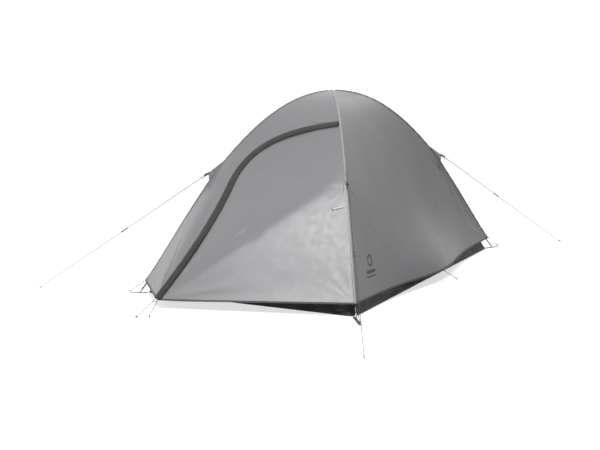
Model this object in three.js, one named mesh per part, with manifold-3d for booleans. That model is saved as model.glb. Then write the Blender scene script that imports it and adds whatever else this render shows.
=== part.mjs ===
// Two-person double-wall dome tent, pitched: two crossed poles, an inner tent
// with a tub groundsheet, a fly sheet with a pegged-out front porch, a zipped
// fly door, four guy-lines and the peg lines round the hem.
//
// Millimetres. +Z is up, the porch and both doors face -Y, and the origin is
// the middle of the groundsheet's underside.
import * as THREE from 'three';
import { mergeVertices } from 'three/addons/utils/BufferGeometryUtils.js';
import Module from 'manifold-3d';

const wasm = await Module();
wasm.setup();

// ---- driving dimensions ----
const APEX_Z = 1100;                 // top of the fly
const HEM_Z = 70;                    // fly hem at the four corners
const DIAG = new THREE.Vector2(0.513, 0.858).normalize();  // plan direction of a pole leg
const RIDGE = [                      // (distance from centre, height) of the fly over a pole
  new THREE.Vector2(0, APEX_Z),
  new THREE.Vector2(735, APEX_Z),
  new THREE.Vector2(1190, 10),
  new THREE.Vector2(1358, 11),
];
const ridgeCurve = new THREE.CubicBezierCurve(...RIDGE);
const PORCH = new THREE.Vector3(-390, -1380, 45);   // hem point pegged out in front
const TAUT_Z = 870;                  // above this the front is stretched pole to pole
const CLOTH = 4;                     // thickness of the fly's solids
const INNER_CLOTH = 3;
const SIDE_SAG = 34;                 // how far a side panel draws in between the poles
const HEM_SAG = 10;                  // how far the hem hangs between two corners
const SIDE_PULL = 88;                // how far its peg draws the middle of its hem out
const DOOR_TOP_Z = 940;              // where the zip meets the ridge
const ZIP_GAP = 5.8;                 // zip centre to the cut edge of the cloth
const SEAM_GAP = 7;                  // door edge to the ridge seam
const POLE_R = 4.25;
const POLE_IN = 17.5;                // fly surface to the outer pole's centre
const POLE_STEP = 9.2;               // the crossing pole passes this much lower
const SECTIONS = 5;                  // pieces in each pole
const FOOT_Z = 7;                    // centre of a pole's lower end
const INNER_IN = 38;                 // fly ridge to the inner tent's ridge
const INNER_SAG = 40;                // how far the inner tent's walls draw in between the poles
const TUB_Z = 92;                    // height of the groundsheet's walls
const FLOOR_X = 652;
const FLOOR_Y = 1092;
const TUB_LEAN = 44;                 // how far the walls lean in at their top
const TUB_R = 50;
const CORD_R = 1.5;
const GAP = 0.4;

const CORNERS = {                    // peg of each corner on the ground, and its sides
  front_left: { sx: -1, sy: -1, peg: [-728, -1130] },
  front_right: { sx: 1, sy: -1, peg: [746, -1237] },
  back_right: { sx: 1, sy: 1, peg: [695, 1165] },
  back_left: { sx: -1, sy: 1, peg: [-715, 1160] },
};
const GUYS = {                       // guy peg, and how far down the line its runner sits
  front_left: { peg: [-1249, -1271], runner: 0.5 },
  front_right: { peg: [1016, -1807], runner: 0.45 },
  back_right: { peg: [1026, 1505], runner: 0.45 },
  back_left: { peg: [-1120, 1480], runner: 0.5 },
};
const GUY_Z = 635;                   // height of the guy tabs on the ridges
const TAB_OUT = 42;                  // how far a tab stands off the ridge
const TAB_DROP = 8;                  // how far the line's pull draws its tip down
const TAB_ABOVE = 0.05;              // its root above and below its tip, in shares of the ridge curve
const TAB_BELOW = 0.012;
const TAB_HALF = 1.25;               // half its thickness
const TAB_LIFT = 3.2;                // its root's clearance from the cloth's ridge
const RUNNER_HALF = 22;
const SIDE_PEG = 812;                // x of the pegs at the middle of the long sides

// ---- materials ----
const cloth = (color, roughness = 0.7) => new THREE.MeshStandardMaterial({ color, roughness, metalness: 0 });
const FLY = cloth(0x9a999e);
const DARK_CLOTH = cloth(0x4c4c50);
const TUB_CLOTH = cloth(0x3a3a3c, 0.4);
const PALE_CLOTH = cloth(0xb9b9bd);
const FIBREGLASS = new THREE.MeshStandardMaterial({ color: 0x1d1d20, roughness: 0.35, metalness: 0 });
const PLASTIC = new THREE.MeshStandardMaterial({ color: 0x18181a, roughness: 0.5, metalness: 0 });
const STEEL = new THREE.MeshStandardMaterial({ color: 0xa8a9ab, roughness: 0.35, metalness: 1 });
const WEBBING = cloth(0x2b2b2e, 0.8);
const CORD = cloth(0xa9a9ac, 0.8);

const tent = new THREE.Group();

function addMesh(name, geometry, material) {
  const mesh = new THREE.Mesh(geometry, material);
  mesh.name = name;
  tent.add(mesh);
  return mesh;
}

// ---- small geometry helpers ----
const vec = (x, y, z) => new THREE.Vector3(x, y, z);
const lerp = THREE.MathUtils.lerp;
const smooth = (x, a, b) => THREE.MathUtils.smoothstep(x, a, b);

function geometryOf(points, triangles) {
  const geometry = new THREE.BufferGeometry();
  geometry.setAttribute('position', new THREE.Float32BufferAttribute(points.flatMap((p) => p.toArray()), 3));
  geometry.setIndex(triangles.flat());
  const merged = mergeVertices(geometry, 0.01);
  const index = merged.index.array;
  const kept = [];
  for (let i = 0; i < index.length; i += 3) {
    const [a, b, c] = [index[i], index[i + 1], index[i + 2]];
    if (a !== b && b !== c && c !== a) kept.push(a, b, c);
  }
  merged.setIndex(kept);
  return merged;
}

// Triangles of a grid of points whose outer side is on the left of row x column.
function gridTriangles(rows, columns, start = 0) {
  const triangles = [];
  for (let i = 0; i < rows - 1; i += 1) {
    for (let j = 0; j < columns - 1; j += 1) {
      const a = start + i * columns + j;
      const b = a + columns;
      triangles.push([a, b, b + 1], [a, b + 1, a + 1]);
    }
  }
  return triangles;
}

// A closed solid from an open sheet: the sheet, a copy set back by the thickness, and a rim.
function thicken(geometry, thickness) {
  geometry.computeVertexNormals();
  const position = geometry.attributes.position;
  const normal = geometry.attributes.normal;
  const index = geometry.index.array;
  const count = position.count;
  const points = [];
  for (let i = 0; i < count; i += 1) points.push(new THREE.Vector3().fromBufferAttribute(position, i));
  for (let i = 0; i < count; i += 1) {
    const n = new THREE.Vector3().fromBufferAttribute(normal, i);
    points.push(points[i].clone().addScaledVector(n, -thickness));
  }
  const triangles = [];
  const edges = new Map();
  for (let i = 0; i < index.length; i += 3) {
    const t = [index[i], index[i + 1], index[i + 2]];
    triangles.push(t, [t[0] + count, t[2] + count, t[1] + count]);
    for (let k = 0; k < 3; k += 1) edges.set(`${t[k]}_${t[(k + 1) % 3]}`, [t[k], t[(k + 1) % 3]]);
  }
  for (const [a, b] of edges.values()) {
    if (!edges.has(`${b}_${a}`)) triangles.push([b, a, a + count], [b, a + count, b + count]);
  }
  return geometryOf(points, triangles);
}

// A closed solid through a list of rings of equal length, capped at both ends.
function loft(rings) {
  const size = rings[0].length;
  const points = rings.flat();
  const triangles = [];
  for (let i = 0; i < rings.length - 1; i += 1) {
    for (let j = 0; j < size; j += 1) {
      const a = i * size + j;
      const b = i * size + ((j + 1) % size);
      triangles.push([a, b, b + size], [a, b + size, a + size]);
    }
  }
  const centre = (ring) => ring.reduce((sum, p) => sum.add(p), vec(0, 0, 0)).divideScalar(size);
  const first = points.push(centre(rings[0])) - 1;
  const last = points.push(centre(rings[rings.length - 1])) - 1;
  const end = (rings.length - 1) * size;
  for (let j = 0; j < size; j += 1) {
    const k = (j + 1) % size;
    triangles.push([first, k, j], [last, end + j, end + k]);
  }
  return geometryOf(points, triangles);
}

// A flat band swept along stations { point, normal, side }: across from w0 to w1, up from h0 to h1.
function band(stations, w0, w1, h0, h1) {
  const corner = (s, w, h) => s.point.clone().addScaledVector(s.side, w).addScaledVector(s.normal, h);
  const section = [[w0, h0], [w0, h1], [w1, h1], [w1, h0]];
  return loft(stations.map((s) => section.map(([w, h]) => corner(s, w, h))));
}

// A round rod or cord along a list of points.
function rod(points, radius, sides = 8, steps = points.length - 1) {
  const curve = points.length === 2 ? new THREE.LineCurve3(...points) : new THREE.CatmullRomCurve3(points);
  const section = new THREE.Shape();
  for (let i = 0; i < sides; i += 1) {
    const angle = (2 * Math.PI * i) / sides;
    const [x, y] = [radius * Math.cos(angle), radius * Math.sin(angle)];
    if (i === 0) section.moveTo(x, y);
    else section.lineTo(x, y);
  }
  return new THREE.ExtrudeGeometry(section, { steps, bevelEnabled: false, extrudePath: curve });
}

function solidOf(geometry) {
  const bare = geometry.clone();
  bare.deleteAttribute('normal');
  bare.deleteAttribute('uv');
  const merged = mergeVertices(bare, 0.001);
  const vertProperties = new Float32Array(merged.attributes.position.array);
  const triVerts = new Uint32Array(merged.index.array);
  return new wasm.Manifold(new wasm.Mesh({ numProp: 3, vertProperties, triVerts }));
}

function geometryFrom(solid) {
  const mesh = solid.getMesh();
  const geometry = new THREE.BufferGeometry();
  geometry.setAttribute('position', new THREE.BufferAttribute(mesh.vertProperties, 3));
  geometry.setIndex(new THREE.BufferAttribute(mesh.triVerts, 1));
  return geometry;
}

// ---- the fly's surface ----
const TOP_ROWS = 5;                  // rows of cloth above the door's top
const LOW_ROWS = 16;                 // rows beside the door and its zip
// Parameter of the ridge curve at a height.
function ridgeParameter(z) {
  let low = 0;
  let high = 0.99;
  for (let i = 0; i < 40; i += 1) {
    const mid = (low + high) / 2;
    if (ridgeCurve.getPoint(mid).y > z) low = mid;
    else high = mid;
  }
  return (low + high) / 2;
}
const T_HEM = ridgeParameter(HEM_Z);
const T_DOOR = ridgeParameter(DOOR_TOP_Z);
const TAUT_R = ridgeCurve.getPoint(ridgeParameter(TAUT_Z)).x;

// Point over a pole leg, moved in square to the ridge.
function ridgePoint(sx, sy, t, inward = 0) {
  const p = ridgeCurve.getPoint(t);
  const tangent = ridgeCurve.getTangent(t);
  const r = Math.max(0, p.x + tangent.y * inward);
  return vec(sx * DIAG.x * r, sy * DIAG.y * r, p.y - tangent.x * inward);
}

// Distance back of the front face at (x, z): a cone of straight threads from the
// porch point to the two front legs, and level threads from leg to leg above it.
function frontY(x, z) {
  if (z >= TAUT_Z) return -DIAG.y * ridgeCurve.getPoint(ridgeParameter(z)).x;
  const dx = x - PORCH.x;
  const dz = Math.max(z - PORCH.z, 1e-6);
  const reach = (TAUT_Z - PORCH.z) / dz;
  const across = PORCH.x + dx * reach;
  if (Math.abs(across) <= DIAG.x * TAUT_R) return PORCH.y + (-DIAG.y * TAUT_R - PORCH.y) / reach;
  const side = Math.sign(across);
  const off = (t) => {
    const p = ridgeCurve.getPoint(t);
    return side * ((side * DIAG.x * p.x - PORCH.x) * dz - (p.y - PORCH.z) * dx);
  };
  let low = ridgeParameter(TAUT_Z);
  let high = T_HEM + 0.02;
  for (let i = 0; i < 40; i += 1) {
    const mid = (low + high) / 2;
    if (off(mid) < 0) low = mid;
    else high = mid;
  }
  const p = ridgeCurve.getPoint(low);
  const share = Math.hypot(dx, dz) / Math.hypot(side * DIAG.x * p.x - PORCH.x, p.y - PORCH.z);
  return lerp(PORCH.y, -DIAG.y * p.x, share);
}

// The door zip seen from the front: up from the porch point, then over to the ridge.
const doorTop = ridgePoint(1, -1, T_DOOR);
const ZIP_BEND = new THREE.Vector2(-262, 600);
const zipLow = new THREE.QuadraticBezierCurve(
  new THREE.Vector2(PORCH.x, PORCH.z), new THREE.Vector2(-262, 360), ZIP_BEND);
const zipHigh = new THREE.CubicBezierCurve(
  ZIP_BEND,
  new THREE.Vector2(-262, 780),
  new THREE.Vector2(-120, 890),
  new THREE.Vector2(doorTop.x, doorTop.z),
);
const zipPath = new THREE.CurvePath();
zipPath.add(zipLow);
zipPath.add(zipHigh);

// Station on the zip at share s (0 at the porch point), shifted across in the face.
function zipFlat(s, across) {
  const p = zipPath.getPointAt(s);
  const q = zipPath.getPointAt(Math.min(s + 0.004, 1));
  const o = zipPath.getPointAt(Math.max(s - 0.004, 0));
  const tangent = q.clone().sub(o).normalize();
  return new THREE.Vector2(p.x + tangent.y * across, p.y - tangent.x * across);
}

function frontPoint(flat) {
  return vec(flat.x, frontY(flat.x, flat.y), flat.y);
}

function frontNormal(flat) {
  const step = 6;
  const dx = frontY(flat.x + step, flat.y) - frontY(flat.x - step, flat.y);
  const dz = frontY(flat.x, flat.y + step) - frontY(flat.x, flat.y - step);
  return vec(dx / (2 * step), -1, dz / (2 * step)).normalize();
}

// Stations from share to share of the zip, with one at every row of the cloth beside it.
function zipStations(from, to) {
  const shares = [from];
  for (let i = 1; i < LOW_ROWS; i += 1) {
    if (i / LOW_ROWS > from + 0.005 && i / LOW_ROWS < to - 0.005) shares.push(i / LOW_ROWS);
  }
  const stations = [];
  for (const s of [...shares, to]) {
    const flat = zipFlat(s, 0);
    const normal = frontNormal(new THREE.Vector2(flat.x, Math.max(flat.y, PORCH.z + 8)));
    const ahead = frontPoint(zipFlat(Math.min(s + 0.01, 1), 0));
    const behind = frontPoint(zipFlat(Math.max(s - 0.01, 0), 0));
    const along = ahead.sub(behind).normalize();
    const side = new THREE.Vector3().crossVectors(along, normal).normalize();
    stations.push({ point: frontPoint(flat), normal, side, along });
  }
  return stations;
}

// Rows of the ridges, from the apex to the hem; the door's top is one of them.
const LEVELS = [];
for (let i = 0; i < TOP_ROWS; i += 1) LEVELS.push((T_DOOR * i) / TOP_ROWS);
for (let i = 0; i <= LOW_ROWS; i += 1) LEVELS.push(lerp(T_DOOR, T_HEM, i / LOW_ROWS));

// A side or back panel between two legs, with its middle drawn in, and out again at a pegged hem.
function sidePanel(from, to, outward, pull, columns) {
  const points = [];
  for (const t of LEVELS) {
    const a = ridgePoint(...from, t);
    const b = ridgePoint(...to, t);
    const down = t / T_HEM;
    for (let j = 0; j <= columns; j += 1) {
      const u = j / columns;
      const bow = 4 * u * (1 - u);
      const p = a.clone().lerp(b, u);
      const sag = SIDE_SAG * bow * smooth(down, 0, 0.5) * (1 - 0.9 * smooth(down, 0.7, 1));
      const drawn = pull * Math.exp(-(((u - 0.5) / 0.2) ** 2)) * smooth(down, 0.45, 1) ** 2;
      p.addScaledVector(outward, drawn - sag);
      p.z -= HEM_SAG * bow * smooth(down, 0.9, 1);
      points.push(p);
    }
  }
  return points;
}

// Front rows from the left leg to the right leg, or to the zip where the door begins.
function frontCap(columns) {
  const points = [];
  LEVELS.forEach((t, i) => {
    const a = ridgePoint(-1, -1, t);
    const low = Math.max(0, (i - TOP_ROWS) / LOW_ROWS);
    const b = i <= TOP_ROWS ? ridgePoint(1, -1, t) : frontPoint(zipFlat(1 - low, -ZIP_GAP));
    for (let j = 0; j <= columns; j += 1) {
      const u = j / columns;
      const flat = new THREE.Vector2(lerp(a.x, b.x, u), lerp(a.z, b.z, u));
      if (j === 0) points.push(a.clone());
      else if (j === columns) points.push(b.clone());
      else points.push(frontPoint(flat));
    }
  });
  return points;
}

function flyShell() {
  const rows = LEVELS.length;
  const panels = [
    [sidePanel([1, -1], [1, 1], vec(1, 0, 0), SIDE_PULL, 10), 11],
    [sidePanel([1, 1], [-1, 1], vec(0, 1, 0), 0, 6), 7],
    [sidePanel([-1, 1], [-1, -1], vec(-1, 0, 0), SIDE_PULL, 10), 11],
    [frontCap(8), 9],
  ];
  const points = [];
  const triangles = [];
  for (const [grid, columns] of panels) {
    triangles.push(...gridTriangles(rows, columns, points.length));
    points.push(...grid);
  }
  return thicken(geometryOf(points, triangles), CLOTH);
}

// The door's rows run from the zip to the ridge seam; its top corner is cut away.
function doorSheet(columns) {
  const points = [];
  for (let i = 1; i <= LOW_ROWS; i += 1) {
    const low = i / LOW_ROWS;
    const a = zipFlat(1 - low, ZIP_GAP);
    const seam = ridgePoint(1, -1, lerp(T_DOOR, T_HEM, low));
    const b = new THREE.Vector2(seam.x - SEAM_GAP, seam.z - 2);
    for (let j = 0; j <= columns; j += 1) {
      const flat = a.clone().lerp(b, j / columns);
      flat.y = Math.max(flat.y, PORCH.z + 1);
      points.push(frontPoint(flat));
    }
  }
  return thicken(geometryOf(points, gridTriangles(LOW_ROWS, columns + 1)), CLOTH);
}

addMesh('fly_shell', flyShell(), FLY);
addMesh('fly_door', doorSheet(12), FLY);

// ---- the door's zip, storm flap, slider and tie ----
const SLIDER_AT = 38 / 1480;         // closed slider's distance up the zip, by the zip's length
const TRACK_TOP = new THREE.Vector2(-325, 330);  // end of the zip's straight lower run
addMesh('zip_chain_fly', band(zipStations(0.004, 0.94), -4.7, -0.5, -2.4, 1), DARK_CLOTH);
addMesh('zip_chain_door', band(zipStations(0.05, 0.94), 0.5, 4.7, -2.4, 1), DARK_CLOTH);
addMesh('storm_flap', band(zipStations(0.012, 0.94), -23, 23, 8, 10.5), DARK_CLOTH);

function sliderParts() {
  const station = zipStations(SLIDER_AT, SLIDER_AT)[0];
  const foot = frontPoint(new THREE.Vector2(PORCH.x, PORCH.z));
  const chord = frontPoint(TRACK_TOP).sub(foot).normalize();
  const side = new THREE.Vector3().crossVectors(chord, station.normal).normalize();
  const at = (d) => {
    const point = station.point.clone().addScaledVector(chord, d);
    return { point, normal: station.normal, side };
  };
  const body = band([at(-7), at(-5), at(5), at(7)], -4.6, 4.6, 1.6, 6.6);
  const steep = vec(0, 0, -1).addScaledVector(station.normal, station.normal.z).normalize();
  const across = new THREE.Vector3().crossVectors(steep, station.normal).normalize();
  const hang = (d) => ({
    point: station.point.clone().addScaledVector(chord, -9).addScaledVector(steep, d),
    normal: station.normal,
    side: across,
  });
  const pull = band([hang(0), hang(8), hang(36)], -2.4, 2.4, 3, 5);
  return { body, pull };
}
const slider = sliderParts();
addMesh('zip_slider', slider.body, PLASTIC);
addMesh('zip_pull', slider.pull, WEBBING);

// The strap that holds the rolled-back door, from the ridge seam towards the door's middle.
const TIE = [new THREE.Vector2(446, 528), new THREE.Vector2(388, 512)];
function doorTie() {
  const along = frontPoint(TIE[1]).sub(frontPoint(TIE[0])).normalize();
  const stations = [0, 0.35, 0.7, 1].map((k) => {
    const flat = TIE[0].clone().lerp(TIE[1], k);
    const normal = frontNormal(flat);
    const side = new THREE.Vector3().crossVectors(along, normal).normalize();
    return { point: frontPoint(flat), normal, side };
  });
  return band(stations, -4, 4, 1, 3);
}
addMesh('door_tie', doorTie(), CORD);

// ---- poles ----
// Half of a pole's centre line, from the apex to its foot, and both halves joined.
function poleLine(sx, sy, drop) {
  const half = (a, b) => {
    const points = [];
    for (let i = 0; i <= 24; i += 1) {
      const t = (T_HEM * i) / 24;
      const p = ridgePoint(a, b, t, POLE_IN);
      p.z -= drop * (1 - smooth(t, 0, 0.25));
      points.push(p);
    }
    const [last, before] = [points[24], points[23]];
    const along = last.clone().sub(before).normalize();
    points.push(last.clone().addScaledVector(along, (last.z - FOOT_Z) / -along.z));
    return points;
  };
  return [...half(sx, sy).reverse(), ...half(-sx, -sy).slice(1)];
}

function addPole(name, sx, sy, drop) {
  const curve = new THREE.CatmullRomCurve3(poleLine(sx, sy, drop));
  curve.arcLengthDivisions = 600;
  const length = curve.getLength();
  for (let k = 0; k < SECTIONS; k += 1) {
    const from = k / SECTIONS + (k ? GAP / 2 / length : 0);
    const to = (k + 1) / SECTIONS - (k < SECTIONS - 1 ? GAP / 2 / length : 0);
    const points = [];
    for (let i = 0; i <= 9; i += 1) points.push(curve.getPointAt(lerp(from, to, i / 9)));
    addMesh(`${name}_section_${k + 1}`, rod(points, POLE_R, 8), FIBREGLASS);
  }
}
addPole('pole_a', -1, -1, 0);
addPole('pole_b', 1, -1, POLE_STEP);

// ---- inner tent ----
// A rounded rectangle of half sizes x and y at height z, eight points to a corner.
function roundedRing(x, y, radius, z) {
  const ring = [];
  const centres = [[1, 1], [-1, 1], [-1, -1], [1, -1]];
  centres.forEach(([sx, sy], k) => {
    for (let i = 0; i <= 7; i += 1) {
      const angle = (Math.PI / 2) * (k + i / 7);
      const px = sx * (x - radius) + radius * Math.cos(angle);
      const py = sy * (y - radius) + radius * Math.sin(angle);
      ring.push(vec(px, py, z));
    }
  });
  return ring;
}

function groundsheet() {
  const wall = 2;
  const lean = (z) => (TUB_LEAN * z) / TUB_Z;
  const ring = (inset, z) => {
    const off = inset + lean(z);
    return roundedRing(FLOOR_X - off, FLOOR_Y - off, TUB_R - inset, z);
  };
  return loft([
    ring(0, 0), ring(0, 50), ring(0, TUB_Z), ring(wall, TUB_Z), ring(wall, 50), ring(wall, 3),
  ]);
}
addMesh('groundsheet', groundsheet(), TUB_CLOTH);

const INNER_FOOT_Z = TUB_Z + INNER_CLOTH;
let innerFoot = T_HEM;
while (ridgePoint(1, 1, innerFoot, INNER_IN).z < INNER_FOOT_Z) innerFoot -= 0.0005;

function innerShell() {
  const rows = 11;
  const columns = 8;
  const sides = [[[1, -1], [1, 1], vec(1, 0, 0)], [[1, 1], [-1, 1], vec(0, 1, 0)],
    [[-1, 1], [-1, -1], vec(-1, 0, 0)], [[-1, -1], [1, -1], vec(0, -1, 0)]];
  const points = [];
  const triangles = [];
  for (const [from, to, outward] of sides) {
    triangles.push(...gridTriangles(rows + 1, columns + 1, points.length));
    for (let i = 0; i <= rows; i += 1) {
      const t = (innerFoot * i) / rows;
      for (let j = 0; j <= columns; j += 1) {
        const u = j / columns;
        const p = ridgePoint(...from, t, INNER_IN).lerp(ridgePoint(...to, t, INNER_IN), u);
        if (i === rows) p.z = INNER_FOOT_Z;
        const down = i / rows;
        const bow = 4 * u * (1 - u);
        const sag = INNER_SAG * bow * smooth(down, 0, 0.4) * (1 - 0.85 * smooth(down, 0.6, 1));
        p.addScaledVector(outward, -sag);
        points.push(p);
      }
    }
  }
  return solidOf(thicken(geometryOf(points, triangles), INNER_CLOTH));
}

// The arched doorway, seen from the front, pushed through the front wall.
const ARCH_HALF = 430;
const ARCH_FOOT_Z = 112;
const ARCH_HIGH = 690;
function archCutter(inset) {
  const shape = new THREE.Shape();
  shape.moveTo(ARCH_HALF - inset, ARCH_FOOT_Z + inset);
  shape.absellipse(0, ARCH_FOOT_Z + inset, ARCH_HALF - inset, ARCH_HIGH - 2 * inset, 0, Math.PI, false);
  shape.closePath();
  const geometry = new THREE.ExtrudeGeometry(shape, { depth: 900, bevelEnabled: false, curveSegments: 22 });
  geometry.rotateX(Math.PI / 2);
  geometry.translate(0, -300, 0);
  return solidOf(geometry);
}
const inner = innerShell();
addMesh('inner_canopy', geometryFrom(inner.subtract(archCutter(0))), PALE_CLOTH);
addMesh('inner_door', geometryFrom(inner.intersect(archCutter(3))), PALE_CLOTH);

// The inner slider sits on the doorway's left side, just above the groundsheet.
function innerSlider() {
  const x = -ARCH_HALF - 6;
  const at = (z) => {
    const t = ridgeParameter(z + 20);
    return vec(x, -DIAG.y * ridgeCurve.getPoint(t).x - 6, z);
  };
  const along = at(240).sub(at(125)).normalize();
  const normal = vec(0, -along.z, along.y);
  const side = vec(1, 0, 0);
  const foot = at(130);
  const station = (d) => ({ point: foot.clone().addScaledVector(along, d), normal, side });
  return band([station(0), station(3), station(11), station(14)], 0, 9, 0, 5);
}
addMesh('inner_zip_slider', innerSlider(), PLASTIC);

// ---- corners: groundsheet straps, hem cords and pegs ----
// The exposed head of a driven peg: a wire hook that opens away from the tent.
function pegHead(x, y, towards) {
  const away = vec(x - towards.x, y - towards.y, 0).normalize();
  const base = vec(x, y, 0);
  const points = [[0, 0], [0, 9], [1.5, 15], [6, 17.5], [10.5, 15], [12, 10]].map(
    ([d, z]) => base.clone().addScaledVector(away, d).setZ(z));
  return rod(points, 2, 8, 10);
}

function cordTo(start, end, radius = CORD_R) {
  return rod([start, end], radius, 8, 1);
}

for (const [name, { sx, sy, peg }] of Object.entries(CORNERS)) {
  const tip = vec(peg[0], peg[1], 0);
  const from = vec(sx * (FLOOR_X - 16), sy * (FLOOR_Y - 16), 0);
  const along = tip.clone().sub(from).normalize();
  const side = vec(along.y, -along.x, 0);
  const length = tip.distanceTo(from);
  const at = (d) => ({ point: from.clone().addScaledVector(along, d), normal: vec(0, 0, 1), side });
  addMesh(`corner_strap_${name}`, band([at(8), at(length - 12), at(length - 5)], -10, 10, 0, 2.4), WEBBING);
  addMesh(`corner_peg_${name}`, pegHead(peg[0], peg[1], from), STEEL);
  const hem = ridgePoint(sx, sy, T_HEM, -3);
  const down = tip.clone().setZ(9).sub(hem).normalize();
  const start = hem.clone().addScaledVector(down, 2);
  addMesh(`corner_cord_${name}`, cordTo(start, tip.clone().setZ(9).addScaledVector(down, -4.5)), CORD);
}

// ---- guy-lines: tab on the ridge, line, runner and peg ----
const T_GUY = ridgeParameter(GUY_Z);
for (const [name, guy] of Object.entries(GUYS)) {
  const { sx, sy } = CORNERS[name];
  const root = ridgePoint(sx, sy, T_GUY);
  const low = ridgePoint(sx, sy, T_GUY + TAB_BELOW);
  const high = ridgePoint(sx, sy, T_GUY - TAB_ABOVE);
  const normal = ridgePoint(sx, sy, T_GUY, -1).sub(root).normalize();
  const pegTip = vec(guy.peg[0], guy.peg[1], 10);
  const tip = root.clone().addScaledVector(normal, TAB_OUT).add(vec(0, 0, -TAB_DROP));
  const side = vec(-sy * DIAG.y, sx * DIAG.x, 0);
  const lifted = [high, low].map((p) => p.clone().addScaledVector(normal, TAB_LIFT));
  const face = (off) => [...lifted, tip].map((p) => p.clone().addScaledVector(side, off));
  addMesh(`guy_tab_${name}`, loft([face(TAB_HALF), face(-TAB_HALF)]), WEBBING);

  const along = pegTip.clone().sub(tip).normalize();
  const start = tip.clone().addScaledVector(along, 2.5);
  const end = pegTip.clone().addScaledVector(along, -5);
  addMesh(`guy_line_${name}`, cordTo(start, end), CORD);

  const length = start.distanceTo(end);
  const plate = new THREE.Shape();
  plate.absellipse(0, 0, 8, 4.5, 0, 2 * Math.PI, false);
  const bore = new THREE.Path();
  bore.absellipse(0, 0, 2.2, 2.2, 0, 2 * Math.PI, true);
  plate.holes.push(bore);
  const middle = start.clone().addScaledVector(along, guy.runner * length);
  const ends = [-RUNNER_HALF, RUNNER_HALF].map((d) => middle.clone().addScaledVector(along, d));
  const extrudePath = new THREE.LineCurve3(...ends);
  const options = { steps: 1, curveSegments: 6, bevelEnabled: false, extrudePath };
  const runner = new THREE.ExtrudeGeometry(plate, options);
  addMesh(`guy_runner_${name}`, runner, PLASTIC);
  addMesh(`guy_peg_${name}`, pegHead(guy.peg[0], guy.peg[1], root), STEEL);
}

// ---- the porch point's two peg lines, and the pegs at the middle of the long sides ----
const PORCH_PEGS = { left: [-357, -1622], right: [-303, -1583] };
for (const [name, peg] of Object.entries(PORCH_PEGS)) {
  const start = PORCH.clone().add(vec(name === 'left' ? -11 : 10, -6, -3));
  const tip = vec(peg[0], peg[1], 9);
  const along = tip.clone().sub(start).normalize();
  addMesh(`porch_cord_${name}`, cordTo(start, tip.clone().addScaledVector(along, -5)), CORD);
  addMesh(`porch_peg_${name}`, pegHead(peg[0], peg[1], PORCH), STEEL);
}
for (const [name, sign] of [['right', 1], ['left', -1]]) {
  const reach = DIAG.x * ridgeCurve.getPoint(T_HEM).x + SIDE_PULL - 0.1 * SIDE_SAG;
  const hem = vec(sign * reach, 0, HEM_Z - HEM_SAG);
  const tip = vec(sign * SIDE_PEG, 20, 9);
  const along = tip.clone().sub(hem).normalize();
  const start = hem.clone().addScaledVector(along, 3);
  addMesh(`side_cord_${name}`, cordTo(start, tip.clone().addScaledVector(along, -4.5)), CORD);
  addMesh(`side_peg_${name}`, pegHead(tip.x, tip.y, hem), STEEL);
}

export default tent;
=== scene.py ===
"""Looks of a pitched two-person dome tent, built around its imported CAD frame. Metres, +Z up, doors to -Y."""
from itertools import product
from math import cos, pi, sin

import bmesh
import bpy
import numpy as np
from mathutils import Matrix, Vector


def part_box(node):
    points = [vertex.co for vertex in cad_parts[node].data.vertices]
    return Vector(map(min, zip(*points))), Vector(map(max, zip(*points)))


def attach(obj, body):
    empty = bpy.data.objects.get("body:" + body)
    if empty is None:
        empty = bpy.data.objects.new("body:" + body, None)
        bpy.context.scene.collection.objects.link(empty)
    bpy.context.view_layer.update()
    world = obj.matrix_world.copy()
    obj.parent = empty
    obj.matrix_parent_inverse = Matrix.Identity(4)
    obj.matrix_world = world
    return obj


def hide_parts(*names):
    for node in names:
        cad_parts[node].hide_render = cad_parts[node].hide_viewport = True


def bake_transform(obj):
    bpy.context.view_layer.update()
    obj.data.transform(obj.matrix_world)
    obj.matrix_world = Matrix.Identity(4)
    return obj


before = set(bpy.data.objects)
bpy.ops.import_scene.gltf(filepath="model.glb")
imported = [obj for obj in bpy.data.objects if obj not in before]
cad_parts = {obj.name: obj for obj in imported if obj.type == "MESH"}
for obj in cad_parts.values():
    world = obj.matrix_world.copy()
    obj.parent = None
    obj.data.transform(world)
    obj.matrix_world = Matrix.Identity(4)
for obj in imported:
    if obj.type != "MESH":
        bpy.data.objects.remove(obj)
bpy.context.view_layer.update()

# ---- the tent's driving sizes, the same as the CAD part's ----
# DIAG points from the apex to a corner; RIDGE has the ridge's control points, as (distance out, height)
APEX_Z = 1.100
HEM_Z = 0.070
DIAG = np.array([0.513, 0.858]) / np.hypot(0.513, 0.858)
RIDGE = np.array([(0, APEX_Z), (0.735, APEX_Z), (1.190, 0.010), (1.358, 0.011)])
PORCH = np.array([-0.390, -1.380, 0.045])
TAUT_Z = 0.870
DOOR_TOP_Z = 0.940
SIDE_SAG = 0.034
SIDE_PULL = 0.088
POLE_IN = 0.0175
POLE_STEP = 0.0092
POLE_R = 0.00425
SECTIONS = 5
FOOT_Z = 0.007
INNER_IN = 0.038
TUB_Z = 0.092
FLOOR_X = 0.652
FLOOR_Y = 1.092
TUB_LEAN = 0.044
TUB_R = 0.050
GUY_Z = 0.635
TAB_OUT = 0.042
TAB_DROP = 0.008
CORD_D = 0.003
CLOTH_T = 0.0009
CORNERS = {"front_left": (-1, -1), "front_right": (1, -1), "back_right": (1, 1), "back_left": (-1, 1)}


# ---- small helpers ----
def unit(v):
    v = np.asarray(v, float)
    return v / np.maximum(np.linalg.norm(v, axis=-1, keepdims=True), 1e-12)


def tangents(path):
    return unit(np.gradient(np.asarray(path, float), axis=0))


def lengths_along(path):
    """The distance along a path at each of its points."""
    return np.r_[0, np.cumsum(np.linalg.norm(np.diff(path, axis=0), axis=1))]


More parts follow.
